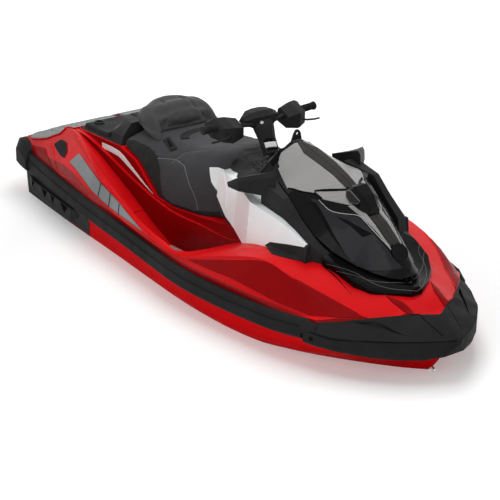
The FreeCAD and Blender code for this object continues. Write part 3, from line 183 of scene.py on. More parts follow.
class Bench:
    """Workbench on which the nodes of a material or the world are put together."""

    WORN_REACH = 0.004
    FLAKES = 2600.0
    FOAM_CELLS = 1400.0
    SMUDGES = 14.0
    SMUDGE_SHARE, SMUDGE_LEAST = 0.12, 0.01
    # Heights of the surface's direction over which painted shade fades out.
    UNDERSIDE, UPSIDE = 0.30, 0.78
    BEVEL_RAYS = 4
    BLACK_BACK = (0.012, 0.012, 0.012)

    def __init__(self, owner: bpy.types.Material | bpy.types.World) -> None:
        """Take hold of a new tree of nodes."""
        owner.use_nodes = True
        self.tree = owner.node_tree

    @cached_property
    def shader(self) -> bpy.types.Node:
        """Return the material's surface shader."""
        return next(n for n in self.tree.nodes if n.type == "BSDF_PRINCIPLED")

    @cached_property
    def place(self) -> Socket:
        """Return the part's own coordinates."""
        return self.node("ShaderNodeTexCoord").outputs["Object"]

    def node(self, kind: str, **settings: object) -> bpy.types.Node:
        """Add a node.

        Args:
            kind: Node type.
            settings: Attributes to set on it.

        Returns:
            The node.
        """
        item = self.tree.nodes.new(kind)
        for name, value in settings.items():
            setattr(item, name, value)
        return item

    def feed(self, value: object, target: Socket) -> None:
        """Give a socket its value.

        Args:
            value: Socket to link, colour or number.
            target: Socket that takes it.
        """
        if isinstance(value, Socket):
            self.tree.links.new(value, target)
        elif isinstance(value, tuple):
            target.default_value = (*value, 1.0)
        else:
            target.default_value = value

    def sum_up(self, operation: str, one: object, two: object) -> Socket:
        """Add a calculation.

        Args:
            operation: What it does.
            one: First number or socket.
            two: Second number or socket.

        Returns:
            The result's socket.
        """
        item = self.node("ShaderNodeMath", operation=operation)
        self.feed(one, item.inputs[0])
        self.feed(two, item.inputs[1])
        return item.outputs[0]

    def noise(self, scale: float, detail: float = 3.0, stretch: Point | None = None) -> Socket:
        """Add a noise pattern fixed to the part.

        Args:
            scale: Features per metre.
            detail: Octaves.
            stretch: Scale along each axis, where it isn't even.

        Returns:
            The pattern's value socket.
        """
        item = self.node("ShaderNodeTexNoise")
        self.feed(scale, item.inputs["Scale"])
        self.feed(detail, item.inputs["Detail"])
        self.feed(self.scaled(stretch), item.inputs["Vector"])
        return item.outputs["Fac"]

    def scaled(self, stretch: Point | None) -> Socket:
        """Return the part's coordinates, stretched where asked.

        Args:
            stretch: Scale along each axis, or None.

        Returns:
            The coordinates' socket.
        """
        if stretch is None:
            return self.place
        item = self.node("ShaderNodeVectorMath", operation="MULTIPLY")
        item.inputs[1].default_value = stretch
        self.feed(self.place, item.inputs[0])
        return item.outputs["Vector"]

    def cells(self, scale: float, feature: str = "F1") -> Socket:
        """Add a cell pattern.

        Args:
            scale: Cells per metre.
            feature: Which distance it gives.

        Returns:
            The distance socket.
        """
        item = self.node("ShaderNodeTexVoronoi", feature=feature)
        self.feed(scale, item.inputs["Scale"])
        self.feed(self.place, item.inputs["Vector"])
        return item.outputs["Distance"]

    def ribs(self, scale: float) -> Socket:
        """Add even ribs across the craft.

        Args:
            scale: Ribs' scale.

        Returns:
            The ribs' height socket.
        """
        item = self.node("ShaderNodeTexWave", wave_type="BANDS", bands_direction="Y", wave_profile="SIN")
        self.feed(scale, item.inputs["Scale"])
        self.feed(0.0, item.inputs["Distortion"])
        self.feed(self.place, item.inputs["Vector"])
        return item.outputs["Fac"]

    def remap(self, value: Socket, low: float, high: float, start: float = 0.0,
              end: float = 1.0) -> Socket:
        """Map a value's range.

        Args:
            value: Socket to map.
            low: Result at the start.
            high: Result at the end.
            start: Input where the result is low.
            end: Input where the result is high.

        Returns:
            The mapped value socket.
        """
        item = self.node("ShaderNodeMapRange")
        for name, number in (("From Min", start), ("From Max", end), ("To Min", low), ("To Max", high)):
            self.feed(number, item.inputs[name])
        self.feed(value, item.inputs["Value"])
        return item.outputs["Result"]

    def blend(self, share: Socket, low: object, high: object) -> Socket:
        """Mix two colours.

        Args:
            share: Socket that gives the share of the second.
            low: First colour or socket.
            high: Second colour or socket.

        Returns:
            The mixed colour socket.
        """
        item = self.node("ShaderNodeMix", data_type="RGBA")
        self.feed(share, item.inputs[0])
        self.feed(low, item.inputs[6])
        self.feed(high, item.inputs[7])
        return item.outputs[2]

    def facing(self, axis: str) -> Socket:
        """Return how far a surface faces along an axis of the part.

        Args:
            axis: X, Y or Z.

        Returns:
            The value's socket.
        """
        parts = self.node("ShaderNodeSeparateXYZ")
        self.feed(self.node("ShaderNodeNewGeometry").outputs["Normal"], parts.inputs[0])
        return parts.outputs[axis]

    def rounded(self, radius: float) -> Socket:
        """Return the surface's direction with its edges rounded off.

        Args:
            radius: Radius of the edges, in metres.

        Returns:
            The direction's socket.
        """
        soft = self.node("ShaderNodeBevel", samples=self.BEVEL_RAYS)
        self.feed(radius, soft.inputs["Radius"])
        return soft.outputs["Normal"]

    def edges(self) -> Socket:
        """Return how much a point's rounded direction leaves its flat one, which marks edges.

        Returns:
            The value's socket.
        """
        match = self.node("ShaderNodeVectorMath", operation="DOT_PRODUCT")
        self.feed(self.rounded(self.WORN_REACH), match.inputs[0])
        self.feed(self.node("ShaderNodeNewGeometry").outputs["Normal"], match.inputs[1])
        return self.sum_up("SUBTRACT", 1.0, match.outputs["Value"])

    def paint(self, finish: Finish) -> None:
        """Give the shader its colour: mottled, patterned, darker as painted shade where it faces sideways or
        down, and lighter on worn edges.

        Args:
            finish: The finish.
        """
        dark, light = finish.tinted(1 - finish.tone), finish.tinted(1 + finish.tone)
        mottle = self.remap(self.noise(finish.tone_size, detail=4.0), low=0.0, high=1.0, start=0.3, end=0.7)
        colour = self.blend(mottle, dark, light)
        if finish.texture is Texture.GELCOAT:
            flake = self.remap(self.cells(self.FLAKES), low=0.0, high=0.16, start=0.55, end=0.9)
            colour = self.blend(flake, colour, finish.tinted(1.5, 0.015))
        # Painted shade: the colour darkens as the surface turns from facing up to facing sideways or down.
        if finish.painted_shade < 1.0:
            level = self.remap(self.facing("Z"), low=0.0, high=1.0, start=self.UNDERSIDE, end=self.UPSIDE)
            colour = self.blend(level, finish.tinted(finish.painted_shade), colour)
        if finish.facing:
            silvered = self.remap(self.facing("X"), low=1.0, high=0.0, start=-0.5, end=-0.3)
            colour = self.blend(silvered, self.BLACK_BACK, colour)
            self.feed(silvered, self.shader.inputs["Metallic"])
        if finish.texture is Texture.WOVEN:
            weave = self.node("ShaderNodeTexChecker")
            self.feed(finish.grain, weave.inputs["Scale"])
            self.feed(self.place, weave.inputs["Vector"])
            colour = self.blend(weave.outputs["Fac"], colour, finish.second or light)
        if finish.texture is Texture.FOAM:
            pores = self.remap(self.cells(self.FOAM_CELLS), low=0.35, high=0.0, start=0.0, end=0.4)
            colour = self.blend(pores, colour, finish.second or dark)
        if finish.edge > 0:
            worn = self.remap(self.edges(), low=0.0, high=finish.edge, start=0.02, end=0.35)
            colour = self.blend(worn, colour, finish.tinted(1.6, 0.06))
        self.feed(colour, self.shader.inputs["Base Color"])

    def polish(self, finish: Finish) -> None:
        """Give the shader a roughness that varies as handling leaves it.

        Args:
            finish: The finish.
        """
        spread = self.SMUDGE_SHARE * finish.roughness + self.SMUDGE_LEAST
        smudge = self.remap(self.noise(self.SMUDGES, detail=5.0), low=finish.roughness - spread,
                            high=finish.roughness + spread, start=0.35, end=0.65)
        self.feed(smudge, self.shader.inputs["Roughness"])

    def emboss(self, finish: Finish) -> None:
        """Give the shader its relief, over edges that are a little rounded.

        Args:
            finish: The finish.
        """
        soft = self.rounded(finish.rounding)
        bump = self.node("ShaderNodeBump")
        self.feed(1.0, bump.inputs["Strength"])
        self.feed(finish.depth, bump.inputs["Distance"])
        self.feed(soft, bump.inputs["Normal"])
        self.feed(self.relief(finish), bump.inputs["Height"])
        self.feed(bump.outputs["Normal"], self.shader.inputs["Normal"])
        if finish.coat > 0:
            self.feed(soft, self.shader.inputs["Coat Normal"])

    def relief(self, finish: Finish) -> Socket:
        """Return the height pattern of a finish.

        Args:
            finish: The finish.

        Returns:
            The pattern's socket.
        """
        if finish.texture is Texture.LEATHER:
            return self.remap(self.cells(finish.grain, "SMOOTH_F1"), low=1.0, high=0.0, start=0.0, end=0.7)
        if finish.texture is Texture.RIBBED:
            return self.ribs(finish.grain)
        if finish.texture is Texture.BRUSHED:
            return self.noise(finish.grain, detail=4.0, stretch=(0.04, 1.0, 1.0))
        return self.noise(finish.grain, detail=6.0 if finish.texture is Texture.CAST else 3.0)


# The deck's red is painted darker on faces turned sideways or down, as painted shade.
RED = Finish(
    "red_gelcoat", (0.70, 0.004, 0.007), roughness=0.34, texture=Texture.GELCOAT, coat=0.05, specular=0.08,
    grain=40, depth=0.0002, tone=0.04, edge=0.08, painted_shade=0.42)
# Darker red laid in sheets where the deck's sides and bow are in shade: painted shade.
SHADE_RED = Finish(
    "painted_shade_red", (0.25, 0.0015, 0.0025), roughness=0.34, texture=Texture.GELCOAT, coat=0.02,
    specular=0.04, grain=40, depth=0.0002, tone=0.12, tone_size=3)
HULL_RED = Finish(
    "hull_red", (0.66, 0.004, 0.007), roughness=0.4, texture=Texture.GELCOAT, coat=0.0, specular=0.006,
    grain=40, depth=0.0001, tone=0.05)
BLACK = Finish(
    "black_moulding", (0.024, 0.024, 0.0245), roughness=0.5, texture=Texture.MOULDED, specular=0.04,
    grain=1100, depth=0.00005, tone=0.18, edge=0.10)
SATIN = Finish(
    "satin_charcoal", (0.024, 0.024, 0.025), roughness=0.5, texture=Texture.MOULDED, specular=0.04,
    grain=1000, depth=0.00005, tone=0.12, edge=0.12)
CHARCOAL = Finish(
    "charcoal_rubber", (0.022, 0.022, 0.0225), roughness=0.58, texture=Texture.MOULDED, specular=0.03,
    grain=900, depth=0.00008, tone=0.15, edge=0.12)
GLOSS = Finish(
    "gloss_black", (0.003, 0.003, 0.0033), roughness=0.2, texture=Texture.GELCOAT, coat=0.06, specular=0.06,
    grain=30, depth=0.0001, tone=0.1)
PITCH = Finish(
    "recess_black", (0.0025, 0.0025, 0.0025), roughness=0.7, texture=Texture.MOULDED, specular=0.08,
    grain=900, depth=0.0002, tone=0.1)
PLATE_GREY = Finish(
    "side_plate_grey", (0.017, 0.017, 0.019), roughness=0.26, texture=Texture.GELCOAT, coat=0.06,
    specular=0.08, grain=60, depth=0.0001, tone=0.08)
# Lighter grey for the scoop frame, and for painted highlights on the nose's lip edges.
EDGE_AND_HIGHLIGHT_GREY = Finish(
    "dull_edging_and_painted_highlight", (0.11, 0.11, 0.112), roughness=0.35, texture=Texture.BRUSHED, specular=0.2, grain=600,
    depth=0.00005, tone=0.05)
DARK_GREY = Finish(
    "dark_grey_panel", (0.034, 0.033, 0.031), roughness=0.42, texture=Texture.MOULDED, specular=0.06,
    grain=800, depth=0.00005, tone=0.08, edge=0.1)
COWL = Finish(
    "cowl_silver", (0.31, 0.306, 0.30), roughness=0.4, texture=Texture.WOVEN, metallic=0.05, coat=0.08,
    specular=0.2, grain=190, depth=0.0001, tone=0.05, second=(0.25, 0.247, 0.243))
WHITE = Finish(
    "white_gelcoat", (0.89, 0.925, 0.93), roughness=0.24, texture=Texture.GELCOAT, coat=0.4, specular=0.35,
    grain=40, depth=0.0001, tone=0.015)
SEAT_TOP = Finish(
    "seat_vinyl", (0.050, 0.050, 0.053), roughness=0.6, texture=Texture.LEATHER, sheen=0.04, specular=0.08,
    grain=520, depth=0.0003, tone=0.10)
SEAT_SIDE = Finish(
    "seat_side_vinyl", (0.017, 0.017, 0.0165), roughness=0.62, texture=Texture.LEATHER, sheen=0.04,
    specular=0.08, grain=420, depth=0.0004, tone=0.22, tone_size=30)
BOLSTER = Finish(
    "bolster_vinyl", (0.050, 0.050, 0.051), roughness=0.5, texture=Texture.LEATHER, sheen=0.06,
    specular=0.12, grain=560, depth=0.0003, tone=0.1)
PIPING = Finish(
    "seat_piping", (0.15, 0.15, 0.15), roughness=0.6, texture=Texture.WOVEN, specular=0.2, grain=900,
    depth=0.0003, tone=0.1)
FOAM = Finish(
    "deck_foam", (0.33, 0.35, 0.353), roughness=0.85, texture=Texture.FOAM, specular=0.2, grain=1200,
    depth=0.0005, tone=0.06, second=(0.235, 0.25, 0.253))
ACCENT = Finish(
    "accent_grey", (0.135, 0.15, 0.153), roughness=0.36, texture=Texture.BRUSHED, coat=0.2, specular=0.3,
    grain=500, depth=0.0001, tone=0.12, tone_size=2.5)
GRIP = Finish(
    "grip_rubber", (0.011, 0.011, 0.011), roughness=0.7, texture=Texture.RIBBED, specular=0.2, grain=45,
    depth=0.0012, tone=0.2)
STEEL = Finish(
    "stainless_steel", (0.62, 0.62, 0.61), roughness=0.22, texture=Texture.BRUSHED, metallic=1.0, grain=700,
    depth=0.0001, tone=0.05)
ALLOY = Finish(
    "alloy_casting", (0.42, 0.42, 0.43), roughness=0.42, texture=Texture.CAST, metallic=0.9, grain=350,
    depth=0.0005, tone=0.1, edge=0.2)
MIRROR = Finish(
    "silvered_glass", (0.86, 0.87, 0.88), roughness=0.03, metallic=1.0, specular=0.1, grain=5, tone=0.01,
    facing=True)
ENGINE = Finish(
    "engine_casting", (0.10, 0.10, 0.105), roughness=0.5, texture=Texture.CAST, metallic=0.6, grain=200,
    depth=0.001, tone=0.2)
BLANK = Finish(
    "blank_label", (0.74, 0.74, 0.735), roughness=0.4, texture=Texture.MOULDED, specular=0.3, grain=700,
    depth=0.00005, tone=0.02)
SILVER = Finish(
    "silver_edging", (0.42, 0.42, 0.42), roughness=0.3, texture=Texture.BRUSHED, metallic=0.7, grain=600,
    depth=0.0001, tone=0.05)

NODE_FINISH: dict[str, Finish] = {
    "hull": HULL_RED, "deck": RED, "engine": ENGINE, "rub_rails": CHARCOAL, "bow_bumper": CHARCOAL,
    "stern_caps": CHARCOAL, "seat_cushion": SEAT_TOP, "seat_shell": BLACK, "seat_bolster": BOLSTER,
    "console": BLACK, "nose_fascia": GLOSS, "fairing_starboard": WHITE, "fairing_port": WHITE,
    "shroud_starboard": BLACK, "shroud_port": BLACK, "hood": GLOSS, "hood_scoop": GLOSS, "storage_bin": BLACK,
    "mirror_glasses": MIRROR, "mirror_starboard": BLACK, "mirror_port": BLACK, "pump_housing": ALLOY,
    "impeller": STEEL, "drive_shaft": STEEL, "trim_ring": ALLOY, "steering_nozzle": BLACK,
    "reverse_gate": BLACK, "ride_plate": ALLOY, "intake_grate": ALLOY, "steering_neck": BLACK,
    "handlebar": BLACK, "gauge_pod": BLACK, "hand_guards": BLACK, "grips": GRIP, "levers": BLACK,
    "side_accents": ACCENT, "quarter_plugs": CHARCOAL, "rear_deck_mats": FOAM, "footwell_mats": FOAM,
    "rear_tray": DARK_GREY, "anchor_rings": BLACK, "sponsons": BLACK, "bow_eye": STEEL, "stern_eyes": STEEL,
}


@dataclass(frozen=True)
class Lamp:
    """A soft box of the studio."""

    name: str
    eye: Point
    target: Point
    long: float
    wide: float
    power: float
    mirrored: bool = True

    def hang(self) -> None:
        """Hang the lamp and aim it."""
        data = bpy.data.lights.new(self.name, "AREA")
        data.shape = "RECTANGLE"
        data.size = self.long
        data.size_y = self.wide
        data.energy = self.power
        item = placed(self.name, data)
        item.location = self.eye
        item.visible_glossy = self.mirrored
        aim = Vector(self.target) - Vector(self.eye)
        item.rotation_euler = aim.to_track_quat("-Z", "Y").to_euler()


@dataclass(frozen=True)
class Studio:
    """Camera, soft lamps, pale floor and white surroundings."""

    frame_pixels: float = 500.0
    focal_pixels: float = 1620.5
    sensor: float = 36.0
    azimuth: float = -37.287
    elevation: float = 23.99
    roll: float = 1.3146
    eye: Point = (6.1802, -4.6974, 3.5413)
    sight: float = 200.0
    floor_reach: float = 60.0
    floor_tones: tuple[Colour, Colour] = ((0.90, 0.90, 0.90), (0.91, 0.91, 0.91))
    floor_grain: float = 0.8
    floor_roughness: float = 0.9
    ambient: float = 0.30
    floor_near: float = 0.25
    floor_far: float = 1.0
    near_reach: float = 1.3
    far_reach: float = 4.2
    white: Colour = (1.0, 1.0, 1.0)
    lamps: tuple[Lamp, ...] = (
        Lamp("overhead", (0.3, 0.2, 4.2), (0.1, 0.0, 0.3), long=5.0, wide=2.2, power=118.0, mirrored=False),
        Lamp("key", (3.0, -5.4, 4.4), (0.2, -0.2, 0.3), long=2.6, wide=2.6, power=40.0),
        Lamp("stern", (-5.0, -2.5, 2.6), (-0.6, 0.0, 0.3), long=2.4, wide=1.6, power=18.0),
        Lamp("side", (1.0, -5.8, 1.4), (0.4, -0.4, 0.2), long=4.0, wide=1.4, power=46.0, mirrored=False),
        Lamp("port", (0.6, 5.6, 3.0), (0.2, 0.0, 0.3), long=4.0, wide=1.4, power=15.0))

    def set_up(self) -> None:
        """Build the whole studio."""
        self._camera()
        for lamp in self.lamps:
            lamp.hang()
        self._surroundings()
        self._floor()
        bpy.context.scene.view_settings.view_transform = "Standard"

    def _axes(self) -> tuple[Vector, Vector, Vector]:
        """Work out how the camera lies.

        Returns:
            Its right, up and forward directions.
        """
        turn, rise, roll = map(math.radians, (self.azimuth, self.elevation, self.roll))
        ahead = -Vector((math.cos(rise) * math.cos(turn), math.cos(rise) * math.sin(turn), math.sin(rise)))
        right = ahead.cross(Vector((0, 0, 1))).normalized()
        up = right.cross(ahead)
        cos, sin = math.cos(roll), math.sin(roll)
        return right * cos + up * sin, up * cos - right * sin, ahead

    def _camera(self) -> None:
        """Put the camera where the photograph was taken."""
        data = bpy.data.cameras.new("camera")
        data.sensor_width = self.sensor
        data.lens = self.focal_pixels / self.frame_pixels * self.sensor
        data.clip_end = self.sight
        item = placed("camera", data)
        right, up, ahead = self._axes()
        turned = Matrix((right, up, -ahead)).transposed().to_4x4()
        item.matrix_world = Matrix.Translation(Vector(self.eye)) @ turned
        bpy.context.scene.camera = item

    def _surroundings(self) -> None:
        """Light the scene evenly from a white room."""
        world = bpy.data.worlds.new("studio")
        bench = Bench(world)
        path = bench.node("ShaderNodeLightPath")
        seen = bench.sum_up("MAXIMUM", path.outputs["Is Camera Ray"], path.outputs["Is Transmission Ray"])
        mirrored = bench.sum_up("MAXIMUM", seen, path.outputs["Is Glossy Ray"])
        back = bench.tree.nodes["Background"]
        bench.feed(bench.remap(mirrored, low=self.ambient, high=1.0), back.inputs["Strength"])
        bench.feed(self.white, back.inputs["Color"])
        bpy.context.scene.world = world

    def _floor(self) -> None:
        """Lay the pale floor at the waterline."""
        reach = self.floor_reach
        corners = [(x * reach, y * reach, 0) for x, y in ((-1, -1), (1, -1), (1, 1), (-1, 1))]
        mesh = bpy.data.meshes.new("floor")
        mesh.from_pydata(corners, [], [(0, 1, 2, 3)])
        item = placed("floor", mesh)
        mesh.materials.append(self._floor_material())

    def _floor_material(self) -> bpy.types.Material:
        """Build the floor's material, which the camera and mirrors see brighter away from the craft.

        Returns:
            The material.
        """
        made = bpy.data.materials.new("floor_white")
        bench = Bench(made)
        sockets = bench.shader.inputs
        bench.feed(self.floor_roughness, sockets["Roughness"])
        bench.feed(0.0, sockets["Specular IOR Level"])
        mottle = bench.remap(bench.noise(self.floor_grain), low=0.0, high=1.0)
        bench.feed(bench.blend(mottle, *self.floor_tones), sockets["Base Color"])
        path = bench.node("ShaderNodeLightPath")
        seen = bench.sum_up("MAXIMUM", path.outputs["Is Camera Ray"], path.outputs["Is Glossy Ray"])
        away = bench.node("ShaderNodeVectorMath", operation="LENGTH")
        bench.feed(bench.place, away.inputs[0])
        glow = bench.remap(away.outputs["Value"], low=self.floor_near, high=self.floor_far,
                           start=self.near_reach, end=self.far_reach)
        bench.feed(bench.sum_up("MULTIPLY", seen, glow), sockets["Emission Strength"])
        bench.feed(self.white, sockets["Emission Color"])
        return made


def smoothed_path(points: Sequence[Vector], spacing: float, closed: bool = False,
                  sharp: bool = False) -> list[Vector]:
    """Set points evenly along a line through given points.

    Args:
        points: Points that the line passes through.
        spacing: Distance between the new points, in metres.
        closed: Whether the line returns to its start.
        sharp: Whether the line keeps straight runs between its points.

    Returns:
        The new points.
    """
    count = len(points)
    result: list[Vector] = []
    for index in range(count if closed else count - 1):
        near = [index + shift for shift in (-1, 0, 1, 2)]
        places = [place % count if closed else min(max(place, 0), count - 1) for place in near]
        before, here, there, after = (points[place] for place in places)
        pieces = max(1, round((there - here).length / spacing))
        for step in range(pieces):
            t = step / pieces
            if sharp:
                result.append(here.lerp(there, t))
                continue
            result.append(0.5 * (2 * here + (there - before) * t
                                 + (2 * before - 5 * here + 4 * there - after) * t * t
                                 + (3 * here - before - 3 * there + after) * t * t * t))
    if not closed:
        result.append(points[-1].copy())
    return result


def crosses(point: Vector, ring: Sequence[Vector]) -> bool:
    """Tell whether a flat point lies inside a ring.

    Args:
        point: The point.
        ring: The ring's corners.

    Returns:
        Whether it lies inside.
    """
    inside = False
    for one, two in zip(ring, list(ring[1:]) + [ring[0]]):
        if (one.y > point.y) != (two.y > point.y):
            if point.x < (two.x - one.x) * (point.y - one.y) / (two.y - one.y) + one.x:
                inside = not inside
    return inside


def crosswise(axis: Vector) -> Vector:
    """Return a unit direction square to an axis, level unless the axis is steep."""
    level = Vector((0, 0, 1)) if abs(axis.z) < STEEP else Vector((1, 0, 0))
    return axis.cross(level).normalized()


def opened(mesh: bpy.types.Mesh) -> Shape:
    """Return a mesh as a shape that can be worked on.

    Args:
        mesh: The mesh, which stays as it is.

    Returns:
        The shape.
    """
    shape = bmesh.new()
    shape.from_mesh(mesh)
    return shape


def put_back(shape: Shape, mesh: bpy.types.Mesh) -> bpy.types.Mesh:
    """Write a shape to a mesh and use the shape up.

    Args:
        shape: The shape.
        mesh: Mesh that takes it.

    Returns:
        The mesh.
    """
    shape.to_mesh(mesh)
    shape.free()
    return mesh


def merge(shape: Shape, own: Shape) -> None:
    """Add one shape to another and use it up.

    Args:
        shape: Shape that takes the other.
        own: The other shape.
    """
    held = put_back(own, bpy.data.meshes.new("held"))
    shape.from_mesh(held)
    bpy.data.meshes.remove(held)


def soften(shape: Shape, rounds: int = 1) -> None:
    """Even out a shape's corners a number of times.

    Args:
        shape: The shape.
        rounds: How many times.
    """
    for _ in range(rounds):
        bmesh.ops.smooth_vert(shape, verts=shape.verts[:], factor=0.5, use_axis_x=True, use_axis_y=True,
                              use_axis_z=True)


def bridge(shape: Shape, rings: Sequence[Sequence[bmesh.types.BMVert]], closed: bool = False) -> None:
    """Join rings of corners by faces.

    Args:
        shape: Shape that holds the rings.
        rings: The rings, in order.
        closed: Whether the last joins the first; else both ends are covered.
    """
    pairs = list(zip(rings, rings[1:])) + ([(rings[-1], rings[0])] if closed else [])
    fresh = []
    for one, two in pairs:
        for i in range(len(one)):
            j = (i + 1) % len(one)
            fresh.append(shape.faces.new((one[i], one[j], two[j], two[i])))
    if not closed:
        fresh += [shape.faces.new(rings[0]), shape.faces.new(rings[-1][::-1])]
    bmesh.ops.recalc_face_normals(shape, faces=fresh)


def add_ring(shape: Shape, centre: Vector, axis: Vector, radius: float, sides: int) -> list[bmesh.types.BMVert]:
    """Add a ring of corners.

    Args:
        shape: Shape that takes it.
        centre: Its middle.
        axis: Unit direction that it lies across.
        radius: Its radius, in metres.
        sides: Number of corners.

    Returns:
        The corners.
    """
    side = crosswise(axis)
    up = side.cross(axis)
    turns = [2 * math.pi * step / sides for step in range(sides)]
    return [shape.verts.new(centre + (side * math.cos(turn) + up * math.sin(turn)) * radius) for turn in turns]


def add_tube(shape: Shape, points: Sequence[Vector], radii: Sequence[float], sides: int = 14) -> None:
    """Add a round rod along points.

    Args:
        shape: Shape that takes it.
        points: Points along its middle.
        radii: Its radius at each of them.
        sides: Corners of its section.
    """
    rings = []
    for index, point in enumerate(points):
        ahead = (points[min(index + 1, len(points) - 1)] - points[max(index - 1, 0)]).normalized()
        rings.append(add_ring(shape, point, ahead, radii[index], sides))
    bridge(shape, rings)


def add_turned(shape: Shape, centre: Vector, axis: Vector, profile: Profile, sides: int = 28) -> None:
    """Add a turned form.

    Args:
        shape: Shape that takes it.
        centre: Where its axis starts.
        axis: Unit direction of its axis.
        profile: Pairs of distance along the axis and radius, in metres.
        sides: Corners round the axis.
    """
    bridge(shape, [add_ring(shape, centre + axis * along, axis, radius, sides) for along, radius in profile])


class Skin:
    """The drawn outside of some pieces, on which trim is laid."""

    REACH = 0.6
    SLACK = 0.06

    def __init__(self, *names: str) -> None:
        """Gather the meshes of the named CAD nodes or pieces.

        Args:
            names: Their names.
        """
        corners: list[Vector] = []
        faces: list[tuple[int, ...]] = []
        for name in names:
            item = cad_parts.get(name) or bpy.data.objects[name]
            base = len(corners)
            corners += [item.matrix_world @ v.co for v in item.data.vertices]
            faces += [tuple(base + i for i in p.vertices) for p in item.data.polygons]
        self.tree = BVHTree.FromPolygons(corners, faces)

    def strike(self, point: Vector, out: Vector) -> tuple[Vector, Vector]:
        """Find the place on the skin that a point near it is laid on.

        Args:
            point: A point on or near the skin.
            out: Direction that the trim is laid from.

        Returns:
            The place and the skin's outward direction there.
        """
        place, normal, _, _ = self.tree.ray_cast(point + out * self.REACH, -out, 2 * self.REACH)
        if place is None or (place - point).length > self.SLACK:
            place, normal, _, _ = self.tree.find_nearest(point)
        if normal.dot(out) < 0:
            normal = -normal
        return place, normal


class Maker:
    """Turns bmesh shapes into pieces that ride on a body and wear a finish."""

    @staticmethod
    def keep(name: str, shape: Shape, finish: Finish, body: str, smooth: float = 30.0,
             others: Sequence[Finish] = ()) -> bpy.types.Object:
        """Make a piece.

        Args:
            name: The piece's name.
            shape: Its mesh, which is used up.
            finish: Its finish.
            body: Body that it rides on.
            smooth: Angle in degrees above which edges stay sharp.
            others: More finishes, for faces that name them.

        Returns:
            The piece.
        """
        for face in shape.faces:
            face.smooth = True
        for edge in shape.edges:
            if len(edge.link_faces) == 2 and edge.calc_face_angle(0.0) > math.radians(smooth):
                edge.smooth = False
        mesh = put_back(shape, bpy.data.meshes.new(name))
        for one in (finish, *others):
            mesh.materials.append(one.material())
        item = placed(name, mesh)
        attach(item, body)
        LOG.info("made %s", name)
        return item

    @staticmethod
    def mirror(shape: Shape) -> None:
        """Add the shape's mirror image on the other side of the craft.

        Args:
            shape: The shape of one side.
        """
        made = bmesh.ops.duplicate(shape, geom=shape.verts[:] + shape.edges[:] + shape.faces[:])
        corners = [g for g in made["geom"] if isinstance(g, bmesh.types.BMVert)]
        faces = [g for g in made["geom"] if isinstance(g, bmesh.types.BMFace)]
        for corner in corners:
            corner.co.y = -corner.co.y
        bmesh.ops.reverse_faces(shape, faces=faces)

    @staticmethod
    def wrap(name: str, points: Outline, finish: Finish, body: str) -> bpy.types.Object:
        """Make a pair of pieces, one on each side, that wrap points.

        Args:
            name: The pair's name.
            points: The points of one side.
            finish: Their finish.
            body: Body that they ride on.

        Returns:
            The piece.
        """
        shape = bmesh.new()
        for point in points:
            shape.verts.new(spot(*point))
        bmesh.ops.convex_hull(shape, input=shape.verts[:])
        Maker.mirror(shape)
        return Maker.keep(name, shape, finish, body)


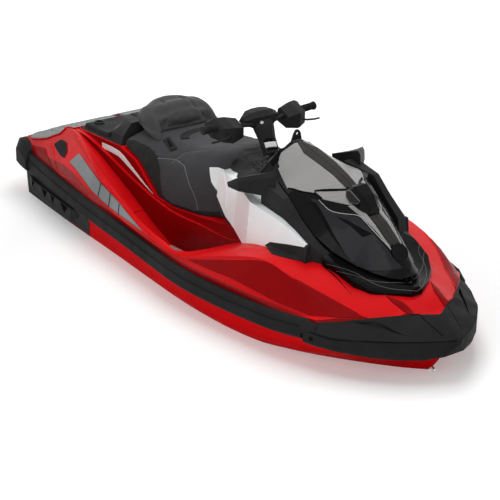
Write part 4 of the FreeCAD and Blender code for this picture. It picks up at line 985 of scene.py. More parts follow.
@dataclass(frozen=True)
class Plate:
    """A thin plate laid on a skin inside an outline."""

    outline: Outline
    finish: Finish
    out: Point = (0.0, 0.0, 1.0)
    lift: float = 0.0025
    sink: float = 0.0025
    step: float = 0.014
    rim: float = 0.0025
    mirrored: bool = True
    smooth: float = 30.0
    rim_lift: float = 0.35
    spare: float = 0.55

    def form(self, skin: Skin, shape: Shape) -> None:
        """Make the plate in an empty shape.

        Args:
            skin: What it lies on.
            shape: Shape that takes it.
        """
        out = Vector(self.out).normalized()
        across = crosswise(out)
        along = out.cross(across)
        rim = smoothed_path([spot(*p) for p in self.outline], self.step, True, True)
        flat = [Vector((p.dot(across), p.dot(along))) for p in rim]
        heights = [p.dot(out) for p in rim]
        inner, depths = self._grid(flat, heights)
        edges = [(i, (i + 1) % len(flat)) for i in range(len(flat))]
        corners, _, faces, origins, *_ = geometry.delaunay_2d_cdt(flat + inner, edges, [], 1, 1e-6)
        heights += depths
        verts = []
        for corner, source in zip(corners, origins):
            height = heights[source[0] if source else 0]
            point = across * corner.x + along * corner.y + out * height
            verts.append(shape.verts.new(skin.strike(point, out)[0]))
        for face in faces:
            shape.faces.new([verts[i] for i in face])
        self._raise(shape, out)

    def _grid(self, ring: Sequence[Vector], heights: Sequence[float]) -> tuple[list[Vector], list[float]]:
        """Set points inside the outline.

        Args:
            ring: The outline, flattened.
            heights: How far out each of its corners lies.

        Returns:
            The points, and about how far out each lies.
        """
        low = Vector((min(p.x for p in ring), min(p.y for p in ring)))
        high = Vector((max(p.x for p in ring), max(p.y for p in ring)))
        points, depths = [], []
        for row in range(1, max(2, int((high.y - low.y) / self.step) + 1)):
            for column in range(1, max(2, int((high.x - low.x) / self.step) + 1)):
                shift = 0.5 * (row % 2)
                point = Vector((low.x + (column + shift) * self.step, low.y + row * self.step))
                room = min((point - corner).length for corner in ring)
                if crosses(point, ring) and room > self.spare * self.step:
                    weights = [1 / (1e-6 + (point - p).length_squared) for p in ring]
                    points.append(point)
                    depths.append(sum(w * h for w, h in zip(weights, heights)) / sum(weights))
        return points, depths

    def _raise(self, shape: Shape, out: Vector) -> None:
        """Give the laid sheet its thickness, with a soft rim and sides that reach into the skin.

        Args:
            shape: The sheet.
            out: Direction that it is laid from.
        """
        shape.normal_update()
        if sum(face.normal.dot(out) * face.calc_area() for face in shape.faces) < 0:
            bmesh.ops.reverse_faces(shape, faces=shape.faces[:])
            shape.normal_update()
        if self.rim > 0:
            bmesh.ops.inset_region(shape, faces=shape.faces[:], thickness=self.rim, use_even_offset=False,
                                   use_boundary=True)
            shape.normal_update()
        normals = {v: v.normal.copy() for v in shape.verts}
        border = [e for e in shape.edges if len(e.link_faces) == 1]
        outer = {v for e in border for v in e.verts}
        made = bmesh.ops.extrude_edge_only(shape, edges=border)
        for vert in (g for g in made["geom"] if isinstance(g, bmesh.types.BMVert)):
            near = min(outer, key=lambda v: (v.co - vert.co).length_squared)
            vert.co -= normals[near] * self.sink
        for vert, normal in normals.items():
            vert.co += normal * (self.lift * (self.rim_lift if vert in outer and self.rim > 0 else 1.0))
        bmesh.ops.recalc_face_normals(shape, faces=shape.faces[:])


@dataclass(frozen=True)
class Strip:
    """A narrow raised line that follows a skin."""

    path: Outline
    finish: Finish
    width: float = 0.006
    height: float = 0.0025
    out: Point = (0.0, 0.0, 1.0)
    sink: float = 0.002
    spacing: float = 0.010
    taper: tuple[float, float] = (1.0, 1.0)
    mirrored: bool = True
    sharp: bool = False
    closed: bool = False
    smooth: float = 50.0
    least_width: float = 0.02
    least_height: float = 0.3
    crown: Profile = ((-1, 0.35), (-0.6, 0.9), (0, 1.0), (0.6, 0.9), (1, 0.35))

    def form(self, skin: Skin, shape: Shape) -> None:
        """Make the line in an empty shape.

        Args:
            skin: What it lies on.
            shape: Shape that takes it.
        """
        out = Vector(self.out).normalized()
        points = smoothed_path([spot(*p) for p in self.path], self.spacing, self.closed, self.sharp)
        laid = [skin.strike(p, out) for p in points]
        count = len(laid)
        rings = []
        for index, (place, normal) in enumerate(laid):
            before = laid[(index - 1) % count if self.closed else max(index - 1, 0)][0]
            after = laid[(index + 1) % count if self.closed else min(index + 1, count - 1)][0]
            side = (after - before).cross(normal)
            side = side.normalized() if side.length > 1e-9 else Vector((0, 1, 0))
            section = self._section(index / max(1, count - 1))
            rings.append([shape.verts.new(place + side * a + normal * b) for a, b in section])
        bridge(shape, rings, self.closed)

    def _section(self, share: float) -> Profile:
        """Return the line's section.

        Args:
            share: How far along the line it lies, from 0 to 1.

        Returns:
            Pairs of distance from the middle and height.
        """
        scale = self.taper[0] + (self.taper[1] - self.taper[0]) * share
        half = 0.5 * self.width * max(scale, self.least_width)
        rise = self.height * max(min(scale, 1.0), self.least_height)
        return ((-half, -self.sink), *((a * half, b * rise) for a, b in self.crown), (half, -self.sink))


def lay(name: str, skin: Skin, body: str, *parts: Plate | Strip) -> bpy.types.Object:
    """Lay plates or lines of one finish as one piece.

    Args:
        name: The piece's name.
        skin: What they lie on.
        body: Body that they ride on.
        parts: The plates or lines.

    Returns:
        The piece.
    """
    shape = bmesh.new()
    for part in parts:
        own = bmesh.new()
        part.form(skin, own)
        if part.mirrored:
            Maker.mirror(own)
        merge(shape, own)
    return Maker.keep(name, shape, parts[0].finish, body, parts[0].smooth)


@dataclass(frozen=True)
class Cushion:
    """A stuffed piece swollen from the CAD solid that it stands for."""

    name: str
    node: str
    finish: Finish
    voxel: float
    cap: float
    rounds: int = 6
    pressure: float = 4.0
    frames: int = 20
    quality: int = 4
    foot: float = 0.02
    fill: float = 0.7
    others: Sequence[Finish] = ()
    rolls: Sequence[Roll] = ()
    roll_spacing: float = 0.012

    def make(self, carve: Callable[[Shape], None],
             panels: Callable[[Vector, Vector], int] | None = None) -> bpy.types.Object:
        """Swell the solid, carve its channels and dress it.

        Args:
            carve: Presses seams and channels into the swollen form.
            panels: Gives the number of the finish of a face from its middle and its normal.

        Returns:
            The piece, which replaces the node.
        """
        mesh = self._remeshed()
        rest = [v.co.copy() for v in mesh.vertices]
        mesh = self._swollen(mesh)
        low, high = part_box(self.node)
        self._hold_back(mesh, rest, low.z + self.foot)
        shape = opened(self._evaluated(mesh, "SUBSURF", levels=1, render_levels=1))
        shape.normal_update()
        carve(shape)
        if not self.rolls:
            for vert in shape.verts:
                vert.co = Vector(min(max(c, a), b) for c, a, b in zip(vert.co, low, high))
        if panels:
            for face in shape.faces:
                face.material_index = panels(face.calc_center_median(), face.normal)
        item = Maker.keep(self.name, shape, self.finish, "hull", ALL_ROUND, self.others)
        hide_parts(self.node)
        return item

    def _hold_back(self, mesh: bpy.types.Mesh, rest: Sequence[Vector], bed: float) -> None:
        """Keep the filling from moving the mesh too far.

        Args:
            mesh: The swollen mesh.
            rest: Where its corners lay before.
            bed: Height under which none moves.
        """
        shape = opened(mesh)
        for vert, home in zip(shape.verts, rest):
            moved = vert.co - home
            if moved.length > self.cap:
                vert.co = home + moved.normalized() * self.cap
            if home.z < bed:
                vert.co = home
        soften(shape)
        put_back(shape, mesh)

    @staticmethod
    def _evaluated(mesh: bpy.types.Mesh, kind: str, **settings: object) -> bpy.types.Mesh:
        """Return the mesh as a modifier leaves it.

        Args:
            mesh: The mesh.
            kind: The modifier's kind.
            settings: Attributes to set on it.

        Returns:
            The new mesh.
        """
        item = placed("work", mesh)
        changer = item.modifiers.new("work", kind)
        for name, value in settings.items():
            setattr(changer, name, value)
        return Cushion._taken(item)

    @staticmethod
    def _taken(item: bpy.types.Object) -> bpy.types.Mesh:
        """Return an object's mesh with its modifiers applied, and remove the object.

        Args:
            item: The object.

        Returns:
            The mesh.
        """
        graph = bpy.context.evaluated_depsgraph_get()
        made = bpy.data.meshes.new_from_object(item.evaluated_get(graph))
        bpy.data.objects.remove(item)
        return made

    def _remeshed(self) -> bpy.types.Mesh:
        """Join the solid and its rolls to an even, softened mesh.

        Returns:
            The mesh.
        """
        whole = opened(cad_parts[self.node].data)
        for roll in self.rolls:
            middle = smoothed_path([spot(*place) for *place, _ in roll], self.roll_spacing)
            share = [(len(roll) - 1) * i / (len(middle) - 1) for i in range(len(middle))]
            radii = [self._between([radius for *_, radius in roll], t) / MILLIMETRES for t in share]
            add_tube(whole, middle, radii)
        start = put_back(whole, bpy.data.meshes.new("start"))
        made = self._evaluated(start, "REMESH", mode="VOXEL", voxel_size=self.voxel)
        shape = opened(made)
        soften(shape, self.rounds)
        return put_back(shape, made)

    @staticmethod
    def _between(values: Sequence[float], place: float) -> float:
        """Return the value at a place between numbered values."""
        first = min(int(place), len(values) - 2)
        return values[first] + (values[first + 1] - values[first]) * (place - first)

    def _swollen(self, mesh: bpy.types.Mesh) -> bpy.types.Mesh:
        """Return the mesh after the cloth simulation has filled it.

        Args:
            mesh: The mesh at rest.

        Returns:
            The filled mesh.
        """
        item = placed("stuffing", mesh)
        cloth = item.modifiers.new("fill", "CLOTH")
        cloth.settings.use_pressure = True
        cloth.settings.uniform_pressure_force = self.pressure
        cloth.settings.effector_weights.gravity = 0.0
        cloth.settings.quality = self.quality
        cloth.point_cache.frame_start = 1
        cloth.point_cache.frame_end = self.frames
        for step in range(1, self.frames + 1):
            bpy.context.scene.frame_set(step)
        made = self._taken(item)
        bpy.context.scene.frame_set(1)
        return made


@dataclass(frozen=True)
class Channel:
    """A channel that is pressed into a soft form along a line on both sides."""

    path: Outline
    depth: float
    radius: float
    spacing: float = 0.008
    slope: float = 2.5

    def press(self, shape: Shape) -> None:
        """Press the channel into a form.

        Args:
            shape: The form.
        """
        line = smoothed_path([spot(*p) for p in self.path], self.spacing)
        for vert in shape.verts:
            place = Vector((vert.co.x, -abs(vert.co.y), vert.co.z))
            gap = min((place - point).length for point in line)
            if gap < self.slope * self.radius:
                vert.co -= vert.normal * (self.depth * math.exp(-(gap / self.radius) ** 2))


@dataclass(frozen=True)
class Upholstery:
    """Seat, backrest and what is sewn and fastened on them."""

    seam: Outline = (
        (1111, -261, 770), (1178, -247, 785), (1245, -232, 795), (1297, -236, 792), (1327, -238, 789),
        (1362, -243, 752), (1398, -249, 709), (1430, -251, 676), (1455, -253, 640), (1470, -256, 600))
    branch: Outline = (
        (1226, -244, 780), (1252, -225, 812), (1283, -202, 839), (1363, -176, 870), (1420, -150, 885))
    front_roll: Roll = (
        (948, 168, 868, 40), (958, 85, 884, 50), (962, 0, 890, 54), (958, -85, 884, 50),
        (948, -168, 868, 40))
    upper_roll: Roll = (
        (880, 150, 905, 45), (900, 75, 922, 50), (905, 0, 926, 50), (900, -75, 922, 50),
        (880, -150, 905, 45))
    side_roll: Roll = (
        (815, 140, 918, 40), (870, 160, 905, 50), (930, 176, 884, 50), (985, 188, 862, 42),
        (1030, 197, 843, 28), (1052, 202, 832, 12))
    crease: Outline = (
        (850, -60, 985), (915, -75, 965), (955, -95, 935), (985, -120, 905), (1015, -150, 865),
        (1030, -165, 840))
    rear_edge: Profile = ((837, 830), (1070, 789), (1111, 770), (1151, 716), (1189, 622), (1200, 540))
    foot_edge: Outline = (
        (1146, -294, 601), (1203, -292, 585), (1282, -289, 568), (1448, -258, 575), (1533, -238, 593),
        (1611, -214, 611))
    latch: Outline = ((1063, -191, 836), (1078, -156, 850), (1213, -198, 839), (1174, -215, 813))
    latch_key: Outline = ((1096, -186, 842), (1104, -176, 846), (1170, -197, 840), (1152, -205, 830))
    strap: Outline = (
        (1168, -118, 856), (1120, -90, 858), (1095, -40, 858), (1085, 30, 858), (1080, 110, 856),
        (1075, 170, 845), (1070, 215, 815))
    seam_depth: float = 0.004
    seam_radius: float = 0.010
    crease_depth: float = 0.009
    crease_radius: float = 0.013
    seat_voxel: float = 0.011
    seat_swell: float = 0.008
    back_voxel: float = 0.0075
    back_swell: float = 0.010
    back_fill: float = 0.8
    flat_top: float = 0.75

    def make(self) -> None:
        """Build the seat, the backrest and their fittings."""
        seat = Cushion("seat_pad", "seat_cushion", SEAT_TOP, self.seat_voxel, self.seat_swell,
                       others=(SEAT_SIDE,))
        seat.make(self._carve_seat, self._seat_panel)
        rolls = [[(x, side * y, z, radius) for x, y, z, radius in self.side_roll] for side in (-1, 1)]
        rolls += [self.front_roll, self.upper_roll]
        back = Cushion("backrest_pad", "seat_bolster", BOLSTER, self.back_voxel, self.back_swell, rounds=14,
                       fill=self.back_fill, rolls=rolls)
        back.make(Channel(self.crease, self.crease_depth, self.crease_radius).press)
        self._fittings()

    def _carve_seat(self, shape: Shape) -> None:
        """Press the seat's sewn channels."""
        for path in (self.seam, self.branch):
            Channel(path, self.seam_depth, self.seam_radius).press(shape)

    def _seat_panel(self, middle: Vector, normal: Vector) -> int:
        """Choose the finish of a face of the seat.

        Args:
            middle: The face's middle.
            normal: Its outward direction.

        Returns:
            1 for the darker panels at the sides behind the seam, else 0.
        """
        x = middle.x * MILLIMETRES + LINES.midship
        z = middle.z * MILLIMETRES + LINES.draught
        for (x0, z0), (x1, z1) in zip(self.rear_edge, self.rear_edge[1:]):
            if z1 <= z <= z0:
                return int(x < x0 + (x1 - x0) * (z - z0) / (z1 - z0) and abs(normal.z) < self.flat_top)
        return 0

    def _fittings(self) -> None:
        """Sew the piping and fasten the latch and the grab strap."""
        skin = Skin("seat_pad")
        side, up = (0.2, -0.8, 0.6), (0.2, -0.5, 0.8)
        lay("seat_piping", skin, "hull", Strip(self.seam, PIPING, width=0.005, height=0.003, out=side),
            Strip(self.branch, PIPING, width=0.004, height=0.002, out=side, taper=(1.0, 0.4)))
        lay("seat_foot_edge", skin, "hull",
            Strip(self.foot_edge, BLACK, width=0.032, height=0.003, out=(0, -1, 0.3), taper=(0.5, 1.0)))
        lay("seat_latch", skin, "hull", Plate(self.latch, BLACK, up, lift=0.006, mirrored=False, rim=0.004))
        lay("seat_latch_key", skin, "hull",
            Plate(self.latch_key, PITCH, up, lift=0.0085, sink=0.001, step=0.01, mirrored=False, rim=0.002))
        lay("grab_strap", skin, "hull", Strip(self.strap, BLACK, width=0.048, height=0.006, mirrored=False))


@dataclass(frozen=True)
class HoodTrim:
    """Silver cowl, scoop, glossy plates and edge lines of the hood."""

    cowl: Outline = (
        (1976, -15, 1070), (1957, -99, 1031), (1970, -131, 958), (2166, -223, 940), (2231, -196, 940),
        (2287, -158, 938), (2280, -142, 949), (2326, -91, 957), (2379, -34, 967), (2349, -35, 979),
        (2278, -38, 1005), (2226, -43, 1020), (2069, -49, 1052))
    centre: Outline = (
        (1976, 0, 1072), (1976, -15, 1070), (2069, -49, 1052), (2226, -43, 1020), (2278, -38, 1005),
        (2349, -35, 979), (2379, -34, 967), (2379, 0, 967))
    sill: Outline = (
        (2284, -147, 945), (2383, -40, 961), (2476, -55, 923), (2405, -92, 916), (2336, -140, 923))
    edge: Outline = (
        (2325, -156, 920), (2388, -144, 889), (2441, -121, 884), (2482, -95, 886), (2513, -71, 885),
        (2541, -64, 874), (2621, -56, 834), (2719, -33, 772), (2746, -33, 745))
    side_plate: Outline = (
        (2262, -196, 926), (2325, -160, 917), (2388, -148, 885), (2441, -126, 880), (2482, -100, 880),
        (2513, -76, 880), (2541, -69, 869), (2621, -62, 828), (2719, -40, 764), (2790, -24, 702),
        (2745, -86, 693), (2692, -129, 684), (2626, -171, 686), (2588, -170, 704), (2540, -174, 738),
        (2455, -186, 796), (2357, -183, 873), (2283, -180, 925))
    slot: Outline = (
        (2428, -139, 871), (2494, -113, 864), (2617, -67, 829), (2587, -98, 807), (2517, -115, 841))
    lower_slot: Outline = (
        (2300, -186, 908), (2357, -180, 868), (2455, -183, 792), (2545, -170, 734), (2470, -176, 800),
        (2370, -172, 880), (2320, -172, 912))
    spine: Outline = (
        (2443, -76, 911), (2546, -61, 873), (2638, -47, 826), (2722, -35, 767), (2700, -30, 790),
        (2663, -33, 812), (2548, -34, 884), (2476, -38, 925))
    spine_band: Outline = (
        (2552, 0, 890), (2548, -32, 884), (2663, -31, 812), (2700, -28, 790), (2712, 0, 780))
    inner_lip: Outline = ((2280, -146, 947), (2326, -92, 958), (2383, -36, 965))
    outer_lip: Outline = ((2170, -219, 941), (2231, -194, 941), (2287, -156, 938), (2330, -139, 923))
    scoop: Outline = (
        (2409, -56, 944), (2409, -56, 975), (2440, -60, 983), (2500, -52, 950), (2488, -54, 932),
        (2440, -60, 926))
    disc_place: Point = (2730, 0, 757)
    disc_out: Point = (0.78, 0, 0.62)
    disc_bed: float = 0.006
    disc: Profile = (
        (0, 0.045), (0.012, 0.045), (0.014, 0.043), (0.014, 0.038), (0.011, 0.036), (0.011, 0.010),
        (0.012, 0.001))

    def make(self) -> None:
        """Lay all of the hood's trim."""
        skin = Skin("hood")
        high, side = (0.0, -0.35, 0.94), (0.35, -0.62, 0.7)
        lay("hood_cowl", skin, "hood", Plate(self.cowl, COWL, high, lift=0.003, step=0.016))
        # Dark grey band along the crest: painted shade of the flank that faces away from the light, made the
        # same on both sides.
        lay("hood_centre_shade", skin, "hood", Plate(self.centre, DARK_GREY, (0.1, 0, 1), lift=0.0045, step=0.016))
        lay("hood_sill", skin, "hood", Plate(self.sill, COWL, (0.2, -0.3, 0.93), lift=0.003))
        lay("hood_side_plates", skin, "hood", Plate(self.side_plate, PLATE_GREY, side, lift=0.003, step=0.016))
        slots = (Plate(line, PITCH, side, lift=0.0045, sink=0.0, step=0.012, rim=0.001)
                 for line in (self.slot, self.lower_slot))
        lay("hood_side_slots", skin, "hood", *slots)
        lay("hood_spine_strips", skin, "hood",
            Plate(self.spine, COWL, (0.4, -0.3, 0.85), lift=0.004, step=0.012))
        # Dark grey band down the spine's middle: painted shade of the spine's far facet, made the same on both
        # sides.
        lay("hood_spine_shade_band", skin, "hood", Plate(self.spine_band, DARK_GREY, (0.5, 0, 0.85), lift=0.004))
        lay("hood_edge_lines", skin, "hood",
            Strip(self.edge, SILVER, width=0.006, height=0.0045, out=side, taper=(0.6, 0.8)))
        # Black strips along the cowl's raised edges: partly the real lip, partly painted shadow under the edge.
        lay("hood_sill_lip_and_shadow", skin, "hood", Strip(self.inner_lip, PITCH, width=0.012, height=0.006, out=high),
            Strip(self.outer_lip, PITCH, width=0.008, height=0.004, out=high))
        self._scoop()
        self._disc(skin)

    def _scoop(self) -> None:
        """Dress the scoop behind the sill."""
        skin = Skin("hood_scoop", "hood")
        side = (0.1, -1, 0.1)
        lay("scoop_panel", skin, "hood", Plate(self.scoop, DARK_GREY, side, lift=0.004, sink=0.002, step=0.012))
        lay("scoop_frame", skin, "hood",
            Strip(self.scoop, EDGE_AND_HIGHLIGHT_GREY, width=0.004, height=0.006, out=side, sharp=True, closed=True))

    def _disc(self, skin: Skin) -> None:
        """Set the bare round disc on the nose.

        Args:
            skin: The hood.
        """
        out = Vector(self.disc_out).normalized()
        place, _ = skin.strike(spot(*self.disc_place), out)
        shape = bmesh.new()
        add_turned(shape, place - out * self.disc_bed, out, self.disc)
        Maker.keep("hood_disc", shape, GLOSS, "hood")


@dataclass(frozen=True)
class NoseTrim:
    """Side plates of the nose under the hood, and lighter grey beads on its lip edges that are painted
    highlights.
    """

    ring: Outline = (
        (2262, -214, 912), (2316, -231, 857), (2364, -244, 812), (2430, -257, 779), (2478, -253, 742),
        (2530, -247, 720), (2560, -240, 706), (2500, -262, 712), (2440, -284, 745), (2380, -284, 800),
        (2310, -262, 862))
    upper_line: Outline = (
        (2582, -247, 672), (2668, -215, 675), (2740, -150, 655), (2800, -60, 648), (2830, 0, 646))
    lower_line: Outline = (
        (2519, -262, 690), (2653, -207, 684), (2745, -164, 652), (2811, -108, 634), (2868, -2, 617))
    line_width: float = 0.004
    line_height: float = 0.003

    def make(self) -> None:
        """Lay the nose's plates and lines."""
        skin = Skin("nose_fascia")
        lay("nose_ring_plates", skin, "hull", Plate(self.ring, PLATE_GREY, (0.2, -0.8, 0.5), lift=0.003))
        # Lighter grey beads on the lips' edges: raised like the real lips, their light colour is a painted
        # highlight.
        lines = (Strip(line, EDGE_AND_HIGHLIGHT_GREY, width=self.line_width, height=self.line_height, out=(0.6, -0.5, 0.4),
                       taper=(0.4, 1.0)) for line in (self.upper_line, self.lower_line))
        lay("nose_painted_highlights", skin, "hull", *lines)


@dataclass(frozen=True)
class SternTrim:
    """Foam mat with its ribs, slots and edging, tray surround, stripe and side accents at the stern."""

    mat: Outline = (
        (20, -30, 590), (22, -405, 590), (34, -428, 592), (89, -430, 599), (233, -411, 644),
        (319, -381, 691), (368, -318, 723), (366, -30, 729))
    edging: Outline = (
        (92, -434, 600), (233, -416, 645), (321, -386, 692), (371, -321, 724), (371, -200, 729),
        (371, -26, 729))
    ribs: int = 12
    first_rib: float = 48.0
    rib_pitch: float = 30.0
    rib_rear: float = 30.0
    rib_front: float = 356.0
    mat_corner: float = 250.0
    corner_cut: float = 0.45
    slots: int = 9
    slot_pitch: float = 22.0
    slot_line: tuple[Point, Point] = ((120, -40, 650), (133, -40, 655))
    tray: Outline = (
        (372, -30, 729), (372, -286, 726), (400, -292, 724), (453, -293, 730), (540, -293, 734),
        (629, -293, 738), (740, -292, 745), (812, -286, 752), (812, -200, 760), (640, -180, 763),
        (640, -30, 763))
    stripe_top: Outline = (
        (628, -316, 705), (665, -307, 706), (729, -300, 706), (800, -300, 704), (845, -300, 692))
    stripe_fall: Outline = ((840, -300, 694), (938, -300, 655), (1062, -299, 603), (1128, -298, 579))
    dividers: tuple[Outline, ...] = (
        ((930, -500, 627), (957, -536, 548)), ((1043, -512, 603), (1081, -547, 544)),
        ((1151, -522, 580), (1191, -558, 539)))
    side_cover: Outline = (
        (44, -440, 250), (44, -466, 440), (300, -500, 440), (560, -530, 438), (800, -545, 430),
        (860, -520, 380), (820, -500, 300), (790, -490, 250))

    def make(self) -> None:
        """Lay the stern's trim."""
        self._mats()
        lay("tray_surround", Skin("deck", "rear_tray"), "hull",
            Plate(self.tray, BLACK, (0, 0, 1), lift=0.004, step=0.012))
        self._stripe()
        lay("accent_dividers", Skin("side_accents"), "hull",
            *(Strip(line, PITCH, width=0.006, height=0.002, out=(0.0, -0.8, 0.6), sharp=True)
              for line in self.dividers))
        lay("stern_side_covers", Skin("hull"), "hull",
            Plate(self.side_cover, BLACK, (0, -1, 0), lift=0.003, step=0.03))

    def _mats(self) -> None:
        """Spread the mat, rib it and edge it."""
        lay("mat_spread", Skin("deck", "rear_deck_mats", "stern_caps"), "hull",
            Plate(self.mat, FOAM, (0, -0.1, 1), lift=0.0045, step=0.02))
        skin = Skin("mat_spread")
        lay("mat_ribs", skin, "hull", *(self._rib(step) for step in range(self.ribs)))
        marks = ([(x + self.slot_pitch * k, y, z) for x, y, z in self.slot_line] for k in range(self.slots))
        lay("mat_slots", skin, "hull",
            *(Strip(mark, PITCH, width=0.008, height=0.002, sharp=True) for mark in marks))
        lay("mat_edging", Skin("deck"), "hull", Strip(self.edging, RED, width=0.007, height=0.007, sharp=True))

    def _rib(self, step: int) -> Strip:
        """Lay out one of the mat's ribs.

        Args:
            step: Its number, from the middle of the craft.

        Returns:
            The rib.
        """
        y = -self.first_rib - self.rib_pitch * step
        front = self.rib_front - max(0.0, abs(y) - self.mat_corner) * self.corner_cut
        path = ((self.rib_rear, y, 600), ((self.rib_rear + front) / 2, y, 660), (front, y, 724))
        return Strip(path, FOAM, width=0.016, height=0.0025, spacing=0.03, sharp=True)

    def _stripe(self) -> None:
        """Lay the white stripe on the pedestal's side."""
        out = (-0.15, -0.9, 0.3)
        lay("pedestal_stripe", Skin("deck"), "hull",
            *(Strip(line, WHITE, width=0.034, height=height, out=out, sink=0.001, taper=taper, sharp=True)
              for line, height, taper in ((self.stripe_top, 0.0012, (1.0, 1.0)),
                                          (self.stripe_fall, 0.0013, (1.0, 0.08)))))


@dataclass(frozen=True)
class DeckShadeAndRidges:
    """Darker red sheets and a dark crease line laid as painted shade on the deck, and crisp ridges moulded in
    the deck's sides.
    """

    side: Outline = (
        (1856, -579, 543), (2079, -519, 609), (2298, -448, 668), (2455, -428, 651), (2645, -359, 602),
        (2846, -276, 545), (2763, -374, 540), (2649, -452, 529), (2479, -505, 539), (2187, -550, 560),
        (2000, -571, 549))
    quarter: Outline = (
        (120, -452, 577), (278, -455, 606), (440, -500, 540), (225, -497, 537), (155, -494, 533))
    recess: Outline = (
        (2812, -139, 610), (2880, -97, 592), (3000, -81, 560), (2967, -120, 566), (2860, -140, 596))
    inner_ridge: Outline = (
        (447, -369, 724), (692, -430, 679), (960, -462, 611), (1275, -522, 559), (1500, -572, 540))
    outer_ridge: Outline = (
        (302, -434, 633), (420, -470, 584), (518, -507, 540), (717, -522, 556), (931, -541, 520))
    bow_ridge: Outline = (
        (2079, -521, 609), (2298, -450, 668), (2455, -430, 651), (2645, -361, 602), (2830, -284, 548))
    crease: Outline = ((2500, -268, 680), (2596, -258, 648), (2714, -259, 602))
    thickness: float = 0.003
    bed: float = 0.002
    rim: float = 0.001

    def make(self) -> None:
        """Lay the painted shade sheets and crease line, and the ridges."""
        skin = Skin("deck")
        # Darker red sheets where the deck's sides and bow recess are in shade: painted shade.
        shade_sheets = ((self.side, (0.1, -0.8, 0.6), 0.014), (self.quarter, (0, -0.8, 0.6), 0.014),
                  (self.recess, (0.3, 0, 1), 0.012))
        lay("deck_painted_shade", skin, "hull",
            *(Plate(line, SHADE_RED, out, lift=self.thickness, sink=self.bed, step=step, rim=self.rim)
              for line, out, step in shade_sheets))
        out = (0, -0.7, 0.7)
        ridges = ((self.inner_ridge, 0.022, 0.006, (0.6, 0.4)), (self.outer_ridge, 0.020, 0.006, (0.8, 0.4)),
                  (self.bow_ridge, 0.016, 0.004, (0.3, 0.8)))
        lay("deck_ridges", skin, "hull", *(Strip(line, RED, width=width, height=height, out=out, taper=taper)
                                           for line, width, height, taper in ridges))
        # A near-black line along the bow crease: painted shade in the crease.
        lay("deck_crease_shade", skin, "hull",
            Strip(self.crease, PITCH, width=0.010, height=0.0015, out=out, taper=(1.0, 0.1)))


@dataclass(frozen=True)
class SideTrim:
    """White tips, black corners and end caps of the fairings."""

    corner: Outline = (
        (2273, -388, 679), (2164, -346, 674), (2201, -345, 705), (2328, -334, 736), (2436, -314, 754),
        (2452, -300, 700), (2452, -302, 678), (2373, -349, 680))
    end: Outline = (
        (2400, -330, 681), (2414, -324, 725), (2430, -313, 764), (2444, -324, 676), (2444, -315, 760),
        (2444, -295, 760), (2444, -295, 680), (2400, -302, 684), (2430, -296, 764))
    tip: Outline = (
        (1512, -207, 834), (1568, -196, 850), (1640, -215, 864), (1696, -240, 873), (1755, -272, 800),
        (1755, -279, 711), (1654, -262, 730), (1580, -232, 745), (1548, -214, 765))
    thickness: float = 0.003

    def make(self) -> None:
        """Lay the trim beside the console."""
        lay("fairing_corners", Skin("fairing_starboard", "shroud_starboard", "deck"), "hull",
            Plate(self.corner, BLACK, (0.2, -0.9, 0.3), lift=self.thickness))
        Maker.wrap("fairing_ends", self.end, BLACK, "hull")
        lay("fairing_tips", Skin("seat_pad", "console", "fairing_starboard"), "hull",
            Plate(self.tip, WHITE, (-0.1, -0.9, 0.4), lift=self.thickness, step=0.012))


@dataclass(frozen=True)
class BowTrim:
    """Belt lines and screws of the bumper, and the tips that carry the rub rails on to it."""

    belt: Outline = (
        (2600, -500, 470), (2683, -478, 466), (2801, -431, 461), (2920, -338, 478), (3020, -235, 486),
        (3095, -140, 489), (3140, -64, 489), (3152, 0, 487))
    crease: Outline = ((2874, -82, 594), (3002, -83, 559), (3120, -58, 510))
    line_width: float = 0.005
    line_height: float = 0.0015
    screw_places: Outline = ((2697, -481, 437), (2400, -566, 440))
    screw_bed: float = 0.004
    screw: Profile = (
        (0, 0.011), (0.006, 0.011), (0.0075, 0.009), (0.0075, 0.006), (0.0055, 0.005), (0.0055, 0.001))
    screw_sides: int = 20
    rail_tip: Outline = (
        (2636, -504, 431), (2636, -504, 475), (2636, -499, 508), (2636, -490, 518.5), (2636, -468, 518.5),
        (2636, -491, 416), (2636, -468, 416), (2708, -472, 436), (2708, -472, 484), (2708, -452, 500),
        (2708, -452, 430))

    def make(self) -> None:
        """Lay the bow's lines, screws and rail tips."""
        skin = Skin("bow_bumper")
        lines = ((self.belt, (0.6, -0.7, 0.2)), (self.crease, (0.4, 0, 0.9)))
        lay("bumper_lines", skin, "hull",
            *(Strip(line, PITCH, width=self.line_width, height=self.line_height, out=out)
              for line, out in lines))
        shape = bmesh.new()
        for point in self.screw_places:
            place, normal = skin.strike(spot(*point), Vector((0.3, -0.9, 0.2)).normalized())
            add_turned(shape, place - normal * self.screw_bed, normal, self.screw, self.screw_sides)
        Maker.mirror(shape)
        Maker.keep("bumper_screws", shape, PITCH, "hull")
        Maker.wrap("rail_tips", self.rail_tip, CHARCOAL, "hull")


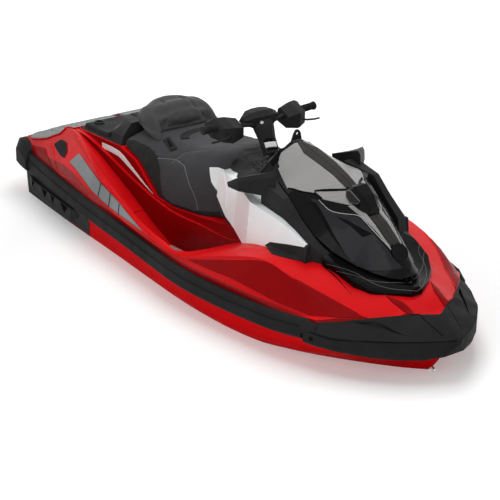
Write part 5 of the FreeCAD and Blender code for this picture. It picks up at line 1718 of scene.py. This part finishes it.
@dataclass(frozen=True)
class ConsoleTrim:
    """Key panel, keys and tie loop in front of the rider."""

    panel: Outline = (
        (1604, -46, 917), (1642, -12, 912), (1946, -139, 955), (1975, -150, 950), (1938, -210, 943),
        (1800, -150, 920), (1643, -84, 907))
    panel_out: Point = (-0.3, -0.4, 0.85)
    key_rows: int = 3
    key_columns: int = 3
    keys_start: Point = (1720, -90, 908)
    keys_end: Point = (1925, -190, 940)
    keys_side: Point = (20, 42, 6)
    key_start: float = 0.06
    key_pitch: float = 0.30
    key_length: float = 0.24
    key_width: float = 0.42
    middle_row: float = 0.6
    row_pitch: float = 0.55
    loop: Profile = (
        (10, 972), (20, 1040), (34, 1080), (47, 1097), (62, 1097), (74, 1080), (82, 1040), (92, 972))
    hole_y: float = 54.5
    hole_z: float = 1078.0
    hole_radius: float = 9.5
    hole_start: float = 210.0
    loop_place: float = 1884.0
    loop_half: float = 7.0
    loop_edge: float = 0.0015
    loop_corner: float = 0.3

    def make(self) -> None:
        """Lay the console's trim."""
        skin = Skin("console")
        lay("key_panel", skin, "hull", Plate(self.panel, SATIN, self.panel_out, lift=0.003, mirrored=False))
        places = [(row, column) for row in range(self.key_rows) for column in range(self.key_columns)]
        lay("keys", skin, "hull",
            *(Plate(self._key(*place), CHARCOAL, self.panel_out, lift=0.0075, sink=0.002, step=0.012, rim=0.002,
                    mirrored=False) for place in places))
        self._tie_loop()

    def _key(self, row: int, column: int) -> Outline:
        """Return the outline of a key.

        Args:
            row: Its row, from starboard.
            column: Its column, from the rear.

        Returns:
            Its four corners.
        """
        start, end, side = Vector(self.keys_start), Vector(self.keys_end), Vector(self.keys_side)
        base = start.lerp(end, self.key_start + self.key_pitch * column)
        base += side * (row - self.middle_row) * self.row_pitch
        ahead = (end - start) * self.key_length
        across = side * self.key_width
        return tuple(tuple(p) for p in (base, base + ahead, base + ahead + across, base + across))

    def _tie_loop(self) -> None:
        """Stand the tie loop with its round hole behind the hood."""
        shape = bmesh.new()
        count = len(self.loop)
        turns = [math.radians(self.hole_start - 360 / count * step) for step in range(count)]
        hole = [(self.hole_y + self.hole_radius * math.cos(t), self.hole_z + self.hole_radius * math.sin(t))
                for t in turns]
        rings = [[shape.verts.new(spot(self.loop_place + side * self.loop_half, y, z)) for y, z in ring]
                 for side in (-1, 1) for ring in (self.loop, hole)]
        rear, rear_hole, front, front_hole = rings
        for one, two in ((rear, rear_hole), (front_hole, front), (front, rear), (rear_hole, front_hole)):
            for i in range(count):
                j = (i + 1) % count
                shape.faces.new((one[i], one[j], two[j], two[i]))
        bmesh.ops.recalc_face_normals(shape, faces=shape.faces[:])
        edges = [e for e in shape.edges if e.calc_face_angle(0.0) > self.loop_corner]
        bmesh.ops.bevel(shape, geom=edges, offset=self.loop_edge, segments=2, affect="EDGES",
                        clamp_overlap=True)
        Maker.keep("tie_loop", shape, BLACK, "hull")


@dataclass(frozen=True)
class SteeringTrim:
    """Grip ribs and ends, and the stud and the blank plate on the steering neck."""

    grip_start: Point = (1652, 262, 1098)
    grip_end: Point = (1648, 345, 1100)
    rib_count: int = 9
    first_rib: float = 0.06
    rib_pitch: float = 0.1
    rib: Profile = ((0, 0.0165), (0.0015, 0.019), (0.0045, 0.019), (0.006, 0.0165))
    rib_sides: int = 20
    cap_place: Point = (1648, 337, 1100)
    cap: Profile = ((0, 0.0165), (0.002, 0.021), (0.012, 0.0225), (0.0155, 0.020), (0.0165, 0.014))
    stud_place: Point = (1703, -27, 1096)
    stud_bed: float = 0.003
    stud: Profile = (
        (0, 0.009), (0.006, 0.009), (0.0075, 0.0075), (0.0075, 0.004), (0.006, 0.003), (0.006, 0.0005))
    small_sides: int = 24
    neck_out: Point = (0.85, 0.0, 0.5)
    surround: Outline = (
        (1714, -44, 990), (1733, -30, 1020), (1750, 24, 1022), (1779, 30, 968), (1749, -44, 957))
    blank_plate: Outline = ((1728, -38, 996), (1752, 20, 1000), (1772, 16, 977), (1738, -38, 969))

    def make(self) -> None:
        """Dress the grips and the neck."""
        self._grips()
        self._neck()

    def _grips(self) -> None:
        """Rib the grips and close their ends."""
        ribs, ends = bmesh.new(), bmesh.new()
        for side in (-1, 1):
            start, end, cap = (spot(x, side * y, z)
                               for x, y, z in (self.grip_start, self.grip_end, self.cap_place))
            axis = (end - start).normalized()
            for ring in range(self.rib_count):
                place = start.lerp(end, self.first_rib + ring * self.rib_pitch)
                add_turned(ribs, place, axis, self.rib, self.rib_sides)
            add_turned(ends, cap, Vector((0, side, 0)), self.cap, self.small_sides)
        Maker.keep("grip_ribs", ribs, GRIP, "steering")
        Maker.keep("grip_ends", ends, BLACK, "steering")

    def _neck(self) -> None:
        """Set the stud and the blank plate on the neck."""
        skin = Skin("steering_neck")
        shape = bmesh.new()
        place, normal = skin.strike(spot(*self.stud_place), Vector((0.85, -0.2, 0.4)).normalized())
        add_turned(shape, place - normal * self.stud_bed, normal, self.stud, self.small_sides)
        Maker.keep("neck_stud", shape, SILVER, "steering")
        lay("neck_surround", skin, "steering",
            Plate(self.surround, PITCH, self.neck_out, lift=0.002, mirrored=False))
        lay("neck_blank_plate", skin, "steering",
            Plate(self.blank_plate, BLANK, self.neck_out, lift=0.004, mirrored=False, step=0.01))


def dress_nodes() -> None:
    """Give every CAD node its finish."""
    for name, finish in NODE_FINISH.items():
        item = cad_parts[name]
        item.data.materials.clear()
        item.data.materials.append(finish.material())
        LOG.info("dressed %s with %s", name, finish.name)


def main() -> None:
    """Build the studio and the dressed watercraft."""
    logging.basicConfig(level=logging.INFO, format="%(message)s")
    Studio().set_up()
    dress_nodes()
    for assembly in (Upholstery(), HoodTrim(), NoseTrim(), SternTrim(), DeckShadeAndRidges(), SideTrim(), BowTrim(),
                     ConsoleTrim(), SteeringTrim()):
        assembly.make()


if __name__ == "__main__":
    main()
